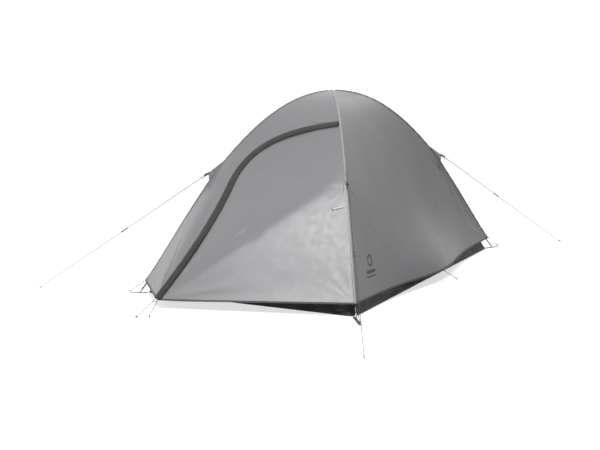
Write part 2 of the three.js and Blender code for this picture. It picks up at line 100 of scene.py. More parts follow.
def sample(values, at, q):
    """The rows of values, which are known at the places at, read between them at q."""
    return np.stack([np.interp(q, at, values[:, k]) for k in range(values.shape[1])], -1)


def smooth(x, a, b):
    """0 up to a, 1 from b on, and an even S between them."""
    q = np.clip((np.asarray(x, float) - a) / (b - a), 0, 1)
    return q * q * (3 - 2 * q)


def unevenness(length, local, short, long, count):
    """A sum of count sine waves along a length, each with its own random wavelength and start."""
    waves = (np.sin(length * 2 * pi / local.uniform(short, long) + local.uniform(0, 6)) for _ in range(count))
    return sum(waves) / count


# ---- camera ----
def place_camera():
    """A long lens in front and to the right, 7.8 m from the tent's middle, looking a little down."""
    yaw, pitch = -0.4629, 0.1689
    forward = Vector((sin(yaw) * cos(pitch), cos(yaw) * cos(pitch), -sin(pitch)))
    data = bpy.data.cameras.new("camera")
    data.lens = 76.8
    data.sensor_width = 36
    data.clip_end = 100
    camera = bpy.data.objects.new("camera", data)
    camera.location = (3.296, -7.036, 1.598)
    camera.rotation_euler = forward.to_track_quat("-Z", "Y").to_euler()
    bpy.context.scene.collection.objects.link(camera)
    bpy.context.scene.camera = camera


place_camera()


# ---- surface of the fly ----
def ridge_curve(t):
    """The ridge's curve as (distance out, height), from the apex at 0 to beyond the hem at 1."""
    t = np.asarray(t, float)[..., None]
    s = 1 - t
    return s ** 3 * RIDGE[0] + 3 * s * s * t * RIDGE[1] + 3 * s * t * t * RIDGE[2] + t ** 3 * RIDGE[3]


T_TABLE = np.linspace(0, 0.99, 2000)
RZ_TABLE = ridge_curve(T_TABLE)


def ridge_t(z):
    """Parameter of the ridge curve at a height."""
    return np.interp(-np.asarray(z, float), -RZ_TABLE[:, 1], T_TABLE)


T_HEM = float(ridge_t(HEM_Z))
T_DOOR = float(ridge_t(DOOR_TOP_Z))
T_TAUT = float(ridge_t(TAUT_Z))
T_GUY = float(ridge_t(GUY_Z))


def ridge_point(sx, sy, t, inward=0.0):
    """Point over a pole leg, moved in square to the ridge by inward."""
    t = np.asarray(t, float)
    p = ridge_curve(t)
    d = ridge_curve(t + 1e-4) - ridge_curve(t - 1e-4)
    d /= np.linalg.norm(d, axis=-1, keepdims=True)
    r = np.maximum(0, p[..., 0] + d[..., 1] * inward)
    z = p[..., 1] - d[..., 0] * inward
    return np.stack([sx * DIAG[0] * r, sy * DIAG[1] * r, z], -1)


def front_rim():
    """The curve that the porch threads run to, as (angle seen from the porch point, distance, y)."""
    up = ridge_point(1, -1, np.linspace(T_HEM + 0.01, T_TAUT, 200))
    across = np.linspace(up[-1], up[-1] * [-1, 1, 1], 200)[1:-1]
    down = ridge_point(-1, -1, np.linspace(T_TAUT, T_HEM + 0.01, 200))
    rim = np.vstack([up, across, down])
    dx, dz = rim[:, 0] - PORCH[0], rim[:, 2] - PORCH[2]
    return np.arctan2(dz, dx), np.hypot(dx, dz), rim[:, 1]


RIM = front_rim()


def front_y(x, z):
    """How far back the front face is at (x, z)."""
    x, z = np.broadcast_arrays(np.asarray(x, float), np.asarray(z, float))
    dx, dz = x - PORCH[0], np.maximum(z - PORCH[2], 1e-5)
    angle = np.arctan2(dz, dx)
    reach = np.interp(angle, RIM[0], RIM[1])
    back = np.interp(angle, RIM[0], RIM[2])
    cone = PORCH[1] + (back - PORCH[1]) * np.hypot(dx, dz) / reach
    level = -DIAG[1] * ridge_curve(ridge_t(z))[..., 0]
    return np.where(z >= TAUT_Z, level, cone)


def front_points(x, z):
    """Points on the front face, given as seen from the front."""
    return np.stack([x, front_y(x, z), z], -1)


def bezier(points, t):
    """A curve with three or four control points."""
    t = t[:, None]
    s = 1 - t
    p = [np.array(q, float) for q in points]
    if len(p) == 3:
        return s * s * p[0] + 2 * s * t * p[1] + t * t * p[2]
    return s ** 3 * p[0] + 3 * s * s * t * p[1] + 3 * s * t * t * p[2] + t ** 3 * p[3]


def zip_table():
    """The zip seen from the front, by share of its length: up from the porch, then over to the ridge."""
    top = ridge_point(1, -1, T_DOOR)
    bend = (-0.262, 0.600)
    t = np.linspace(0, 1, 300)
    low = bezier([(PORCH[0], PORCH[2]), (-0.262, 0.360), bend], t)
    high = bezier([bend, (-0.262, 0.780), (-0.120, 0.890), (top[0], top[2])], t)
    path = np.vstack([low, high[1:]])
    length = lengths_along(path)
    return length / length[-1], path


ZIP = zip_table()


def zip_flat(s, across=0.0):
    """(x, z) on the zip at share s, shifted across in the face, to the right when positive."""
    s = np.asarray(s, float)
    share, path = ZIP
    d = sample(path, share, np.minimum(s + 0.004, 1)) - sample(path, share, np.maximum(s - 0.004, 0))
    d /= np.linalg.norm(d, axis=-1, keepdims=True)
    return sample(path, share, s) + np.stack([d[..., 1], -d[..., 0]], -1) * across


def zip_points(s, across=0.0):
    """The same as zip_flat, but in space, on the front face."""
    flat = zip_flat(s, across)
    z = np.maximum(flat[..., 1], PORCH[2])
    return front_points(flat[..., 0], z)


def front_normal(x, z):
    """The front face's outward normal, from its slopes over a few millimetres."""
    z = np.maximum(z, PORCH[2] + 0.012)
    e = 0.006
    nx = (front_y(x + e, z) - front_y(x - e, z)) / (2 * e)
    nz = (front_y(x, z + e) - front_y(x, z - e)) / (2 * e)
    n = np.stack([nx, -np.ones_like(nx), nz], -1)
    return n / np.linalg.norm(n, axis=-1, keepdims=True)


# ---- mesh helpers ----
def add_object(name, mesh, material=None):
    obj = bpy.data.objects.new(name, mesh)
    bpy.context.scene.collection.objects.link(obj)
    if material:
        mesh.materials.append(material)
    return obj


def mesh_from(name, points, faces, material, uv=None, soft=True):
    mesh = bpy.data.meshes.new(name)
    mesh.from_pydata(np.asarray(points, float).reshape(-1, 3).tolist(), [], faces)
    if uv is not None:
        layer = mesh.uv_layers.new(name="UVMap")
        corner = np.zeros(len(mesh.loops), np.int32)
        mesh.loops.foreach_get("vertex_index", corner)
        layer.data.foreach_set("uv", np.asarray(uv, np.float32)[corner].ravel())
    mesh.polygons.foreach_set("use_smooth", [soft] * len(mesh.polygons))
    return add_object(name, mesh, material)


def grid_faces(rows, columns, start=0):
    """The quads of a grid whose first point has the number start."""
    i, j = np.meshgrid(np.arange(rows - 1), np.arange(columns - 1), indexing="ij")
    a = (start + i * columns + j).ravel()
    b = a + columns
    return np.stack([a, b, b + 1, a + 1], 1).tolist()


def grid_uv(grid):
    """Flat cloth coordinates of a grid, in metres, from its own lengths."""
    down = np.linalg.norm(np.diff(grid, axis=0), axis=2).mean(1)
    v = np.r_[0, np.cumsum(down)]
    across = np.linalg.norm(np.diff(grid, axis=1), axis=2)
    u = np.concatenate([np.zeros((len(grid), 1)), np.cumsum(across, 1)], 1)
    u -= u[:, -1:] / 2
    return np.stack([u, np.broadcast_to(v[:, None], u.shape)], -1)


def grid_normals(grid):
    di = np.gradient(grid, axis=0)
    dj = np.gradient(grid, axis=1)
    n = np.cross(di, dj)
    size = np.linalg.norm(n, axis=2, keepdims=True)
    return n / np.maximum(size, 1e-12)


def weld(obj, distance=0.0002):
    """Joins the seams between grids, and drops the faces that had no width."""
    bm = bmesh.new()
    bm.from_mesh(obj.data)
    bmesh.ops.remove_doubles(bm, verts=bm.verts, dist=distance)
    bmesh.ops.dissolve_degenerate(bm, edges=bm.edges, dist=1e-6)
    loose = [v for v in bm.verts if not v.link_faces]
    bmesh.ops.delete(bm, geom=loose, context="VERTS")
    bm.to_mesh(obj.data)
    bm.free()
    return obj


def add_thickness(obj, thickness):
    """Gives cloth its thickness, all of it on the inside."""
    modifier = obj.modifiers.new("cloth", "SOLIDIFY")
    modifier.thickness = thickness
    modifier.offset = -1.0
    modifier.use_even_offset = False
    return obj


def cloth_from_grids(name, grids, material, thickness=CLOTH_T):
    """One sheet of cloth from grids of points that meet along their edges."""
    points, faces, uv = [], [], []
    for grid in grids:
        faces += grid_faces(grid.shape[0], grid.shape[1], sum(len(p) for p in points))
        points.append(grid.reshape(-1, 3))
        uv.append(grid_uv(grid).reshape(-1, 2))
    obj = mesh_from(name, np.vstack(points), faces, material, np.vstack(uv))
    weld(obj)
    return add_thickness(obj, thickness)


def sweep(name, path, normals, profile, material):
    """A closed profile of (across, out) points carried along a path, and capped at its ends."""
    path, normals = np.asarray(path, float), unit(normals)
    along = tangents(path)
    side = unit(np.cross(along, normals))
    normals = unit(np.cross(side, along))
    profile = np.asarray(profile, float)
    if profile.ndim == 2:
        profile = np.broadcast_to(profile, (len(path),) + profile.shape)
    points = path[:, None] + side[:, None] * profile[..., :1] + normals[:, None] * profile[..., 1:]
    rows, size = points.shape[:2]
    uv = np.stack(np.broadcast_arrays(lengths_along(profile[0])[None, :], lengths_along(path)[:, None]), -1)
    faces = []
    for i in range(rows - 1):
        for j in range(size):
            a, b = i * size + j, i * size + (j + 1) % size
            faces.append((a, b, b + size, a + size))
    faces.append(tuple(range(size - 1, -1, -1)))
    faces.append(tuple((rows - 1) * size + j for j in range(size)))
    obj = mesh_from(name, points, faces, material, uv.reshape(-1, 2))
    fix_normals(obj)
    return obj


def fix_normals(obj):
    """Turns the faces of a closed piece outward."""
    bm = bmesh.new()
    bm.from_mesh(obj.data)
    bmesh.ops.recalc_face_normals(bm, faces=bm.faces)
    bm.to_mesh(obj.data)
    bm.free()


def circle(radius, sides=12):
    a = np.linspace(0, 2 * pi, sides, endpoint=False)
    return np.stack([radius * np.cos(a), radius * np.sin(a)], 1)


def band_profile(half, height, lift=0.0, crown=0.0, count=7):
    """A flat strip's section: its top is crowned, and its edges are rounded."""
    x = np.linspace(-half, half, count)
    top = lift + height + crown * (1 - (x / half) ** 2)
    top[[0, -1]] -= height * 0.35
    bottom = np.full(count, float(lift))
    bottom[[0, -1]] += height * 0.35
    return np.vstack([np.stack([x, bottom], 1), np.stack([x, top], 1)[::-1]])


def spline(points, count):
    """A smooth path through given points."""
    p = np.asarray(points, float)
    if len(p) == 2:
        return np.linspace(p[0], p[1], count)
    d = np.r_[0, np.cumsum(np.sqrt(np.linalg.norm(np.diff(p, axis=0), axis=1)))]
    m = np.gradient(p, d, axis=0)
    out = []
    for q in np.linspace(0, d[-1], count):
        i = min(np.searchsorted(d, q, side="right") - 1, len(p) - 2)
        h = d[i + 1] - d[i]
        t = (q - d[i]) / h
        out.append((2 * t ** 3 - 3 * t * t + 1) * p[i] + (t ** 3 - 2 * t * t + t) * h * m[i]
                   + (3 * t * t - 2 * t ** 3) * p[i + 1] + (t ** 3 - t * t) * h * m[i + 1])
    return np.array(out)


def transport(path):
    """Normals that don't twist along a path."""
    along = tangents(path)
    start = np.cross(along[0], (0, 0, 1) if abs(along[0][2]) < 0.9 else (1, 0, 0))
    normals = [unit(start)]
    for a in along[1:]:
        n = normals[-1] - a * np.dot(normals[-1], a)
        normals.append(unit(n))
    return np.array(normals)


def tube(name, points, radius, material, sides=12, count=None):
    """A round rod or cord through points, on a spline of count points where count is given."""
    path = np.asarray(points, float) if count is None else spline(points, count)
    return sweep(name, path, transport(path), circle(radius, sides), material)


def torus(name, centre, axis, radius, thickness, material, turn=1.0, sides=10):
    """A ring, or the first part of one where turn is below 1, about an axis."""
    axis = unit(axis)
    u = unit(np.cross(axis, (0, 0, 1) if abs(axis[2]) < 0.9 else (1, 0, 0)))
    v = np.cross(axis, u)
    a = np.linspace(0, 2 * pi * turn, 33)
    path = np.asarray(centre) + radius * (np.cos(a)[:, None] * u + np.sin(a)[:, None] * v)
    return sweep(name, path, np.broadcast_to(axis, path.shape), circle(thickness, sides), material)


def join(name, pieces):
    """Makes one object of several."""
    bpy.ops.object.select_all(action="DESELECT")
    for piece in pieces:
        piece.select_set(True)
    bpy.context.view_layer.objects.active = pieces[0]
    if len(pieces) > 1:
        bpy.ops.object.join()
    pieces[0].name = name
    return pieces[0]


# ---- procedural materials ----
class Tree:
    """Short names for a material's nodes."""

    def __init__(self, name):
        self.material = bpy.data.materials.new(name)
        self.material.use_nodes = True
        self.tree = self.material.node_tree
        self.shader = self.tree.nodes["Principled BSDF"]

    def node(self, kind, **values):
        """A new node, with its settings and its inputs given by name."""
        node = self.tree.nodes.new("ShaderNode" + kind)
        for key, value in values.items():
            if hasattr(node, key):
                setattr(node, key, value)
            else:
                node.inputs[key.replace("_", " ")].default_value = value
        return node

    def link(self, a, b):
        self.tree.links.new(a, b)

    def shade(self, **values):
        """Sets the shader's inputs, or links those whose value is another node's output."""
        for key, value in values.items():
            socket = self.shader.inputs[key.replace("_", " ")]
            if isinstance(value, bpy.types.NodeSocket):
                self.link(value, socket)
            else:
                socket.default_value = value

    def pattern(self):
        """The two coordinates of the flat cloth, webbing or cord, in metres."""
        split = self.node("SeparateXYZ")
        self.link(self.node("UVMap", uv_map="UVMap").outputs["UV"], split.inputs[0])
        return split.outputs[0], split.outputs[1]

    def math(self, operation, a, b=None):
        node = self.node("Math", operation=operation)
        for k, value in enumerate((a, b)):
            if isinstance(value, (int, float)):
                node.inputs[k].default_value = value
            elif value is not None:
                self.link(value, node.inputs[k])
        return node.outputs[0]

    def ribs(self, value, pitch):
        """A sine wave along a length, one wave to each pitch."""
        return self.math("SINE", self.math("MULTIPLY", value, 2 * pi / pitch))

    def noise(self, scale, detail):
        """Noise in the object's own space, with scale in features to the metre."""
        node = self.node("TexNoise", Scale=scale, Detail=detail, Roughness=0.55)
        self.link(self.node("TexCoord").outputs["Object"], node.inputs["Vector"])
        return node.outputs["Fac"]

    def ramp(self, fac, stops):
        node = self.node("ValToRGB")
        ramp = node.color_ramp
        while len(ramp.elements) < len(stops):
            ramp.elements.new(0.5)
        for element, (at, color) in zip(ramp.elements, stops):
            element.position = at
            element.color = (*color, 1)
        self.link(fac, node.inputs["Fac"])
        return node.outputs["Color"]

    def bump(self, height, distance, strength, normal=None):
        node = self.node("Bump", Strength=strength, Distance=distance)
        self.link(height, node.inputs["Height"])
        if normal is not None:
            self.link(normal, node.inputs["Normal"])
        return node.outputs["Normal"]


def tint(color, k):
    return tuple(min(1.0, c * k) for c in color)


def cloth_material(
    name, color, roughness, thread=0.0009, crinkle=0.0006, sheen=0.1, spread=0.06, mottle=6.0, gloss=0.5,
):
    """Woven cloth: threads both ways on the flat pattern, faint mottling, and a fine crinkle."""
    t = Tree(name)
    u, v = t.pattern()
    weave = t.math("MULTIPLY", t.ribs(u, thread), t.ribs(v, thread))
    soft = t.noise(mottle, 4.0)
    fine = t.noise(mottle * 11, 3.0)
    mixed = t.math("ADD", t.math("MULTIPLY", soft, 0.75), t.math("MULTIPLY", fine, 0.25))
    stops = [(0.3, tint(color, 1 - spread)), (0.55, color), (0.75, tint(color, 1 + spread))]
    ripple = t.bump(t.noise(26.0, 2.5), crinkle, 0.6)
    t.shade(
        Base_Color=t.ramp(mixed, stops),
        Roughness=t.math("ADD", t.math("MULTIPLY", fine, 0.18), roughness - 0.09),
        Normal=t.bump(weave, 0.00008, 0.5, ripple),
        Specular_IOR_Level=gloss, Sheen_Weight=sheen, Sheen_Roughness=0.5,
    )
    return t.material


def webbing_material(name, color, roughness=0.75, pitch=0.0018):
    """Woven webbing: ribs across the strap, broken up by rows along it."""
    t = Tree(name)
    u, v = t.pattern()
    weave = t.math("MULTIPLY", t.ribs(v, pitch), t.ribs(u, pitch * 1.6))
    stops = [(0.3, tint(color, 0.8)), (0.6, color), (0.8, tint(color, 1.35))]
    t.shade(
        Base_Color=t.ramp(t.noise(60.0, 4.0), stops), Roughness=roughness,
        Normal=t.bump(weave, 0.0003, 0.7), Sheen_Weight=0.15,
    )
    return t.material


def cord_material(name, color, pitch=0.004):
    """Braided cord: two sets of crossing strands round the line, its colour darker in the gaps between strands
    as painted shade and lighter on their tops as painted highlight.
    """
    t = Tree(name)
    around, onward = (t.math("MULTIPLY", length, 2 * pi / pitch) for length in t.pattern())
    left, right = (t.math("SINE", t.math(way, around, onward)) for way in ("ADD", "SUBTRACT"))
    strands = t.math("MAXIMUM", left, right)
    # painted shade and highlight: the colour follows the strands' height, dark in the gaps and light on the
    # tops
    stops = [(0.0, tint(color, 0.6)), (0.6, color), (1.0, tint(color, 1.2))]
    t.shade(Base_Color=t.ramp(strands, stops), Roughness=0.7, Normal=t.bump(strands, 0.0004, 0.8))
    return t.material


def plain_material(name, color, roughness, metallic=0.0, grain=90.0, spread=0.15, coat=0.0):
    """Moulded plastic, glass fibre or metal: fine grain, and wear in colour and gloss."""
    t = Tree(name)
    worn = t.noise(grain, 5.0)
    stops = [(0.3, tint(color, 1 - spread)), (0.55, color), (0.8, tint(color, 1 + 1.6 * spread))]
    t.shade(
        Base_Color=t.ramp(worn, stops),
        Roughness=t.math("ADD", t.math("MULTIPLY", worn, 0.25), roughness - 0.12),
        Normal=t.bump(t.noise(grain * 9, 2.0), 0.0001, 0.6), Metallic=metallic, Coat_Weight=coat,
    )
    return t.material


FLY_COLOR = (0.126, 0.1245, 0.131)
FLY = cloth_material("fly_polyester", FLY_COLOR, 0.37, crinkle=0.00025, spread=0.03, mottle=3.0)
PIPING = cloth_material("seam_tape", tint(FLY_COLOR, 1.7), 0.5, crinkle=0.0009, spread=0.08, mottle=30.0)
FLAP = cloth_material(
    "charcoal_polyester", (0.0085, 0.0085, 0.009), 0.74, crinkle=0.0022, spread=0.5, mottle=22.0)
BINDING = cloth_material(
    "hem_binding", (0.035, 0.035, 0.038), 0.7, crinkle=0.0012, spread=0.25, mottle=40.0)
TUB = cloth_material(
    "groundsheet_cloth", (0.019, 0.019, 0.0195), 0.38, thread=0.0024, crinkle=0.006,
    spread=0.35, mottle=9.0, gloss=0.25)
INNER = cloth_material("inner_polyester", (0.40, 0.40, 0.41), 0.7, spread=0.05, mottle=5.0)
PRINT = plain_material("printed_mark", (0.05, 0.05, 0.055), 0.6, grain=40.0)
WEBBING = webbing_material("black_webbing", (0.03, 0.03, 0.033))
PALE_WEBBING = webbing_material("pale_webbing", (0.45, 0.45, 0.46), 0.7)
CORD = cord_material("grey_cord", (0.03, 0.03, 0.032))
DARK_CORD = cord_material("dark_cord", (0.022, 0.022, 0.024))
PLASTIC = plain_material("black_plastic", (0.022, 0.022, 0.024), 0.42, grain=120.0)
FIBREGLASS = plain_material("black_fibreglass", (0.02, 0.02, 0.022), 0.3, grain=200.0, coat=0.4)
STEEL = plain_material(
    "galvanised_steel", (0.42, 0.42, 0.43), 0.38, metallic=1.0, grain=160.0, spread=0.3)


# ---- the fly's cloth ----
def wave(points, seed, size, amount):
    """A gentle unevenness: a few sine waves in fixed random directions."""
    local = np.random.default_rng(seed)
    out = np.zeros(points.shape[:-1])
    for _ in range(9):
        k = unit(local.normal(size=3)) * 2 * pi / (size * local.uniform(0.6, 1.6))
        out += np.sin(points @ k + local.uniform(0, 2 * pi)) / 9
    return out * amount * 2.2


def folds(points, source, along, count, seed, amount, near, far, spread=4.0):
    """Uneven tension folds that fan out from a pulled point: strongest at near, and gone at far."""
    local = np.random.default_rng(seed)
    d = points - source
    size = np.linalg.norm(d, axis=-1)
    along = unit(along)
    side = np.cross(along, unit(points.reshape(-1, 3).mean(0) - source))
    if np.linalg.norm(side) > 1e-3:
        side = unit(np.cross(side, along))
    else:
        side = unit(np.cross(along, (0, 0, 1)))
    angle = np.arctan2(d @ side, d @ along)
    ripple, gate = np.zeros_like(size), np.zeros_like(size)
    for _ in range(4):
        ripple += np.sin(angle * count * local.uniform(0.5, 1.5) + local.uniform(0, 2 * pi)) / 4
        turned = angle * count * local.uniform(0.1, 0.3) + size * local.uniform(2, 7)
        gate += np.sin(turned + local.uniform(0, 2 * pi)) / 4
    ripple *= 0.25 + smooth(gate, -0.15, 0.45)
    reach = smooth(size, 0, near) * (1 - smooth(size, near, far)) * np.exp(-((angle / spread) ** 2))
    return ripple * reach * amount * 1.6


GUY_ROOTS = {name: ridge_point(sx, sy, T_GUY) for name, (sx, sy) in CORNERS.items()}


def guy_cusp(points):
    """How far the guy-line draws the cloth out near each tab: a sharp tent, longer above than below."""
    out = np.zeros(points.shape[:-1])
    for root in GUY_ROOTS.values():
        d = points - root
        flat = np.linalg.norm(d, axis=-1)
        reach = np.where(d[..., 2] > 0, 0.105, 0.055)
        out += 0.010 * np.exp(-flat / reach)
    return out


def relief(points, normals):
    """Moves cloth along its normals: unevenness, folds and the pull of the guy-lines."""
    lift = wave(points, 3, 0.55, 0.0018) + wave(points, 5, 0.17, 0.0002)
    up, down = (0, 0, 1), (0, 0, -1)
    lift += folds(points, PORCH, (0.4, 0.3, 0.6), count=34, seed=11, amount=0.0026, near=0.16, far=0.80)
    for k, (name, root) in enumerate(GUY_ROOTS.items()):
        sx, sy = CORNERS[name]
        strength = {"front_left": 0.0006, "back_right": 0.0030}.get(name, 0.0018)
        foot = ridge_point(sx, sy, T_HEM)
        lift += folds(points, root, down, 20, seed=20 + k, amount=strength, near=0.06, far=0.62, spread=0.75)
        lift += folds(points, root, up, 13, seed=30 + k, amount=0.0016, near=0.05, far=0.30, spread=0.8)
        lift += folds(points, root, down, 26, seed=50 + k, amount=0.0060, near=0.035, far=0.17, spread=0.9)
        lift += folds(points, foot, up, 20, seed=40 + k, amount=0.0010, near=0.10, far=0.40)
    for sx in (-1, 1):
        hem = np.array([sx * 0.739, 0, HEM_Z - 0.01])
        lift += folds(points, hem, up, 22, seed=60 + sx, amount=0.0026, near=0.09, far=0.45)
    edge = 1 - 0.6 * np.exp(-np.abs(points[..., 2] - HEM_Z) / 0.03)
    return points + normals * (lift * edge)[..., None]


TAUT_LINE = np.arctan2(GUY_ROOTS["front_right"][2] - PORCH[2], GUY_ROOTS["front_right"][0] - PORCH[0])


def taut_crest(grid):
    """The crease from the porch point to the front tab: the cloth is tight below it and slack above."""
    dx, dz = grid[..., 0] - PORCH[0], grid[..., 2] - PORCH[2]
    off = np.arctan2(dz, dx) - TAUT_LINE - 0.02
    size = np.hypot(dx, dz)
    along = smooth(size, 0.06, 0.45) * (1 - smooth(size, 0.85, 1.06))
    below = np.exp(-((off / 0.16) ** 2)) * 0.004
    above = 0.004 - 0.016 * smooth(off, 0.0, 0.16) * (1 - smooth(off, 0.2, 0.75))
    return np.where(off < 0, below, above) * along


def slack_wrinkles(grid):
    """Short crumples where the door's slack cloth meets the taut crease, not far from the porch point."""
    dx, dz = grid[..., 0] - PORCH[0], grid[..., 2] - PORCH[2]
    size = np.hypot(dx, dz)
    off = np.arctan2(dz, dx) - TAUT_LINE - 0.02
    across = off * size
    local = np.random.default_rng(77)
    lift = np.zeros_like(size)
    for _ in range(14):
        start = local.uniform(0.10, 0.52)
        length = local.uniform(0.09, 0.20)
        side = local.uniform(-0.012, 0.075)
        turn = local.uniform(-0.22, 0.10)
        width = local.uniform(0.007, 0.013)
        line = across - side - turn * (size - start)
        along = smooth(size, start, start + length * 0.4)
        along *= 1 - smooth(size, start + length * 0.5, start + length)
        lift += np.exp(-((line / width) ** 2)) * along * local.uniform(-0.0040, 0.0030)
    return lift


def outward(grid):
    """A grid's normals, all on the side that faces away from the tent's middle."""
    n = grid_normals(grid)
    middle = grid.reshape(-1, 3).mean(0) * [1, 1, 0]
    flip = np.sign((n * unit(middle + [0, 0, 0.4])).sum(-1, keepdims=True))
    return n * np.where(flip == 0, 1, flip)


ROWS = 116
T_ROWS = np.concatenate([np.linspace(0, T_DOOR, 26), np.linspace(T_DOOR, T_HEM, ROWS - 25)[1:]])


def side_grid(start, end, out, pull, columns):
    """A side of the fly from ridge to ridge: it sags inward, and pull draws the middle of its hem out."""
    a, b = ridge_point(*start, T_ROWS), ridge_point(*end, T_ROWS)
    u = np.linspace(0, 1, columns)[None, :, None]
    down = (T_ROWS / T_HEM)[:, None]
    grid = a[:, None] * (1 - u) + b[:, None] * u
    bow = 4 * u[..., 0] * (1 - u[..., 0])
    sag = SIDE_SAG * bow * smooth(down, 0, 0.5) * (1 - 0.9 * smooth(down, 0.7, 1))
    drawn = pull * np.exp(-(((u[..., 0] - 0.5) / 0.2) ** 2)) * smooth(down, 0.45, 1) ** 2
    grid = grid + (drawn - sag)[..., None] * np.array(out)
    grid[..., 2] -= 0.010 * bow * smooth(down, 0.9, 1)
    return grid


ZIP_GAP = 0.0058


def front_grid(columns):
    """The front's fixed cloth: pole to pole at the top, then from the left pole to the zip."""
    rows = []
    for t in T_ROWS:
        a = ridge_point(-1, -1, t)
        low = max(0.0, (t - T_DOOR) / (T_HEM - T_DOOR))
        b = ridge_point(1, -1, t) if t <= T_DOOR + 1e-9 else zip_points(1 - low, -ZIP_GAP)
        u = np.linspace(0, 1, columns)
        line = front_points(a[0] + (b[0] - a[0]) * u, a[2] + (b[2] - a[2]) * u)
        line[0], line[-1] = a, b
        rows.append(line)
    return np.array(rows)


def door_grid(columns):
    """The door's cloth, from the zip to the front-right ridge."""
    rows = []
    for low in np.linspace(0.002, 1, 110):
        a = zip_flat(1 - low, ZIP_GAP)
        seam = ridge_point(1, -1, T_DOOR + (T_HEM - T_DOOR) * low)
        u = np.linspace(0, 1, columns)
        x, z = a[0] + (seam[0] - a[0]) * u, a[1] + (seam[2] - a[1]) * u
        line = front_points(x, np.maximum(z, PORCH[2] + 0.001))
        line[-1] = seam
        rows.append(line)
    return np.array(rows)


HELD = 0.03


def hold_edges(grid, moved):
    """Keeps the relief off the grid's two upright edges, so that its neighbours still meet it."""
    columns = grid.shape[1]
    j = np.arange(columns)[None, :] / (columns - 1)
    share = smooth(j, 0, HELD) * smooth(1 - j, 0, HELD)
    return grid + (moved - grid) * share[..., None]


def pull_ridge(grid):
    """The guy-lines' cusps, along the diagonal through each tab so that both panels move alike."""
    out = unit(grid * [1, 1, 0] + [0, 0, 1e-9])
    return grid + (out * [1, 1, 0]) * guy_cusp(grid)[..., None]


def dress(grid):
    """A grid of tight cloth with its folds, and drawn out at the guy tabs."""
    return pull_ridge(hold_edges(grid, relief(grid, outward(grid))))


RIGHT = dress(side_grid((1, -1), (1, 1), (1, 0, 0), SIDE_PULL, 110))
BACK = dress(side_grid((1, 1), (-1, 1), (0, 1, 0), 0, 70))
LEFT = dress(side_grid((-1, 1), (-1, -1), (-1, 0, 0), SIDE_PULL, 110))
FRONT = dress(front_grid(70))
flat_door = door_grid(100)
flat_door = flat_door + outward(flat_door) * (taut_crest(flat_door) + slack_wrinkles(flat_door))[..., None]
DOOR = dress(flat_door)

fly = cloth_from_grids("fly_cloth", [RIGHT, BACK, LEFT, FRONT], FLY)
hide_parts("fly_shell")
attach(fly, "tent")


def ride_door(obj):
    """Bakes a part of the door's placement into its mesh."""
    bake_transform(obj)


door = cloth_from_grids("door_cloth", [DOOR], FLY)
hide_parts("fly_door")
ride_door(door)


# ---- hems and ridge seams ----
def edge_strip(name, edge, inner_edge, material, half=0.0055, thick=0.0013, lift=0.0045):
    """Tape folded over a cloth's edge. inner_edge is a row of the cloth a little further in."""
    up = unit(inner_edge - edge)
    along = tangents(edge)
    normals = unit(np.cross(along, up))
    path = edge + up * lift
    a = np.linspace(0, 2 * pi, 14, endpoint=False)
    profile = np.stack([half * np.sign(np.cos(a)) * np.abs(np.cos(a)) ** 0.5, thick * np.sin(a)], 1)
    return sweep(name, path, normals, profile, material)


panels = {"right": RIGHT, "back": BACK, "left": LEFT, "strip": FRONT}
hem_pieces = [edge_strip(f"hem_{name}", grid[-1], grid[-4], BINDING) for name, grid in panels.items()]
hem = join("fly_hem_binding", hem_pieces)
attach(hem, "tent")

door_hem = edge_strip("door_hem_binding", DOOR[-1], DOOR[-4], BINDING)
ride_door(door_hem)


def ridge_path(sx, sy, rows):
    """The fly's finished ridge, with the guy tab's pull in it."""
    return pull_ridge(ridge_point(sx, sy, rows)[None])[0]


def ridge_out(sx, sy, rows):
    """The direction square to a ridge, away from the tent."""
    return unit(ridge_point(sx, sy, rows, -0.01) - ridge_point(sx, sy, rows))


def ridge_seam(name, sx, sy, material, half, crown, pucker, seed):
    """A seam folded over to a flat ridge of cloth, gathered a little by its stitches."""
    rows = np.linspace(0.012, T_HEM - 0.004, 420)
    path = ridge_path(sx, sy, rows)
    out = ridge_out(sx, sy, rows)
    side = unit(np.cross(tangents(path), out))
    length = lengths_along(path)
    wobble = unevenness(length, np.random.default_rng(seed), 0.02, 0.09, 5)
    gather = pucker * (1 + 1.6 * np.exp(-((length - 0.30) / 0.14) ** 2))
    path = path + side * (wobble * gather)[:, None] + out * (0.0008 + np.abs(wobble) * gather * 0.6)[:, None]
    a = np.linspace(0, 2 * pi, 12, endpoint=False)
    profile = [np.stack([half * (1 + 0.25 * w) * np.cos(a), crown * np.sin(a)], 1) for w in wobble]
    return sweep(name, path, out, np.array(profile), material)


for name, (sx, sy) in CORNERS.items():
    front = name == "front_right"
    seam = ridge_seam(
        f"ridge_seam_{name}", sx, sy, PIPING if front else FLY,
        half=0.0055 if front else 0.0045, crown=0.0022 if front else 0.0015,
        pucker=0.0022 if front else 0.0008, seed=70 + len(name),
    )
    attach(seam, "tent")


# ---- a plain printed mark on the right-hand side ----
def on_right(row, column):
    """Points on the right side's cloth at fractional rows and columns of its grid, and their normals."""
    normals = outward(RIGHT)
    i, j = np.floor(row).astype(int), np.floor(column).astype(int)
    a, b = (row - i)[..., None], (column - j)[..., None]

    def mix(grid):
        left = grid[i, j] * (1 - a) * (1 - b) + grid[i + 1, j] * a * (1 - b)
        return left + grid[i, j + 1] * (1 - a) * b + grid[i + 1, j + 1] * a * b

    return mix(RIGHT), unit(mix(normals))


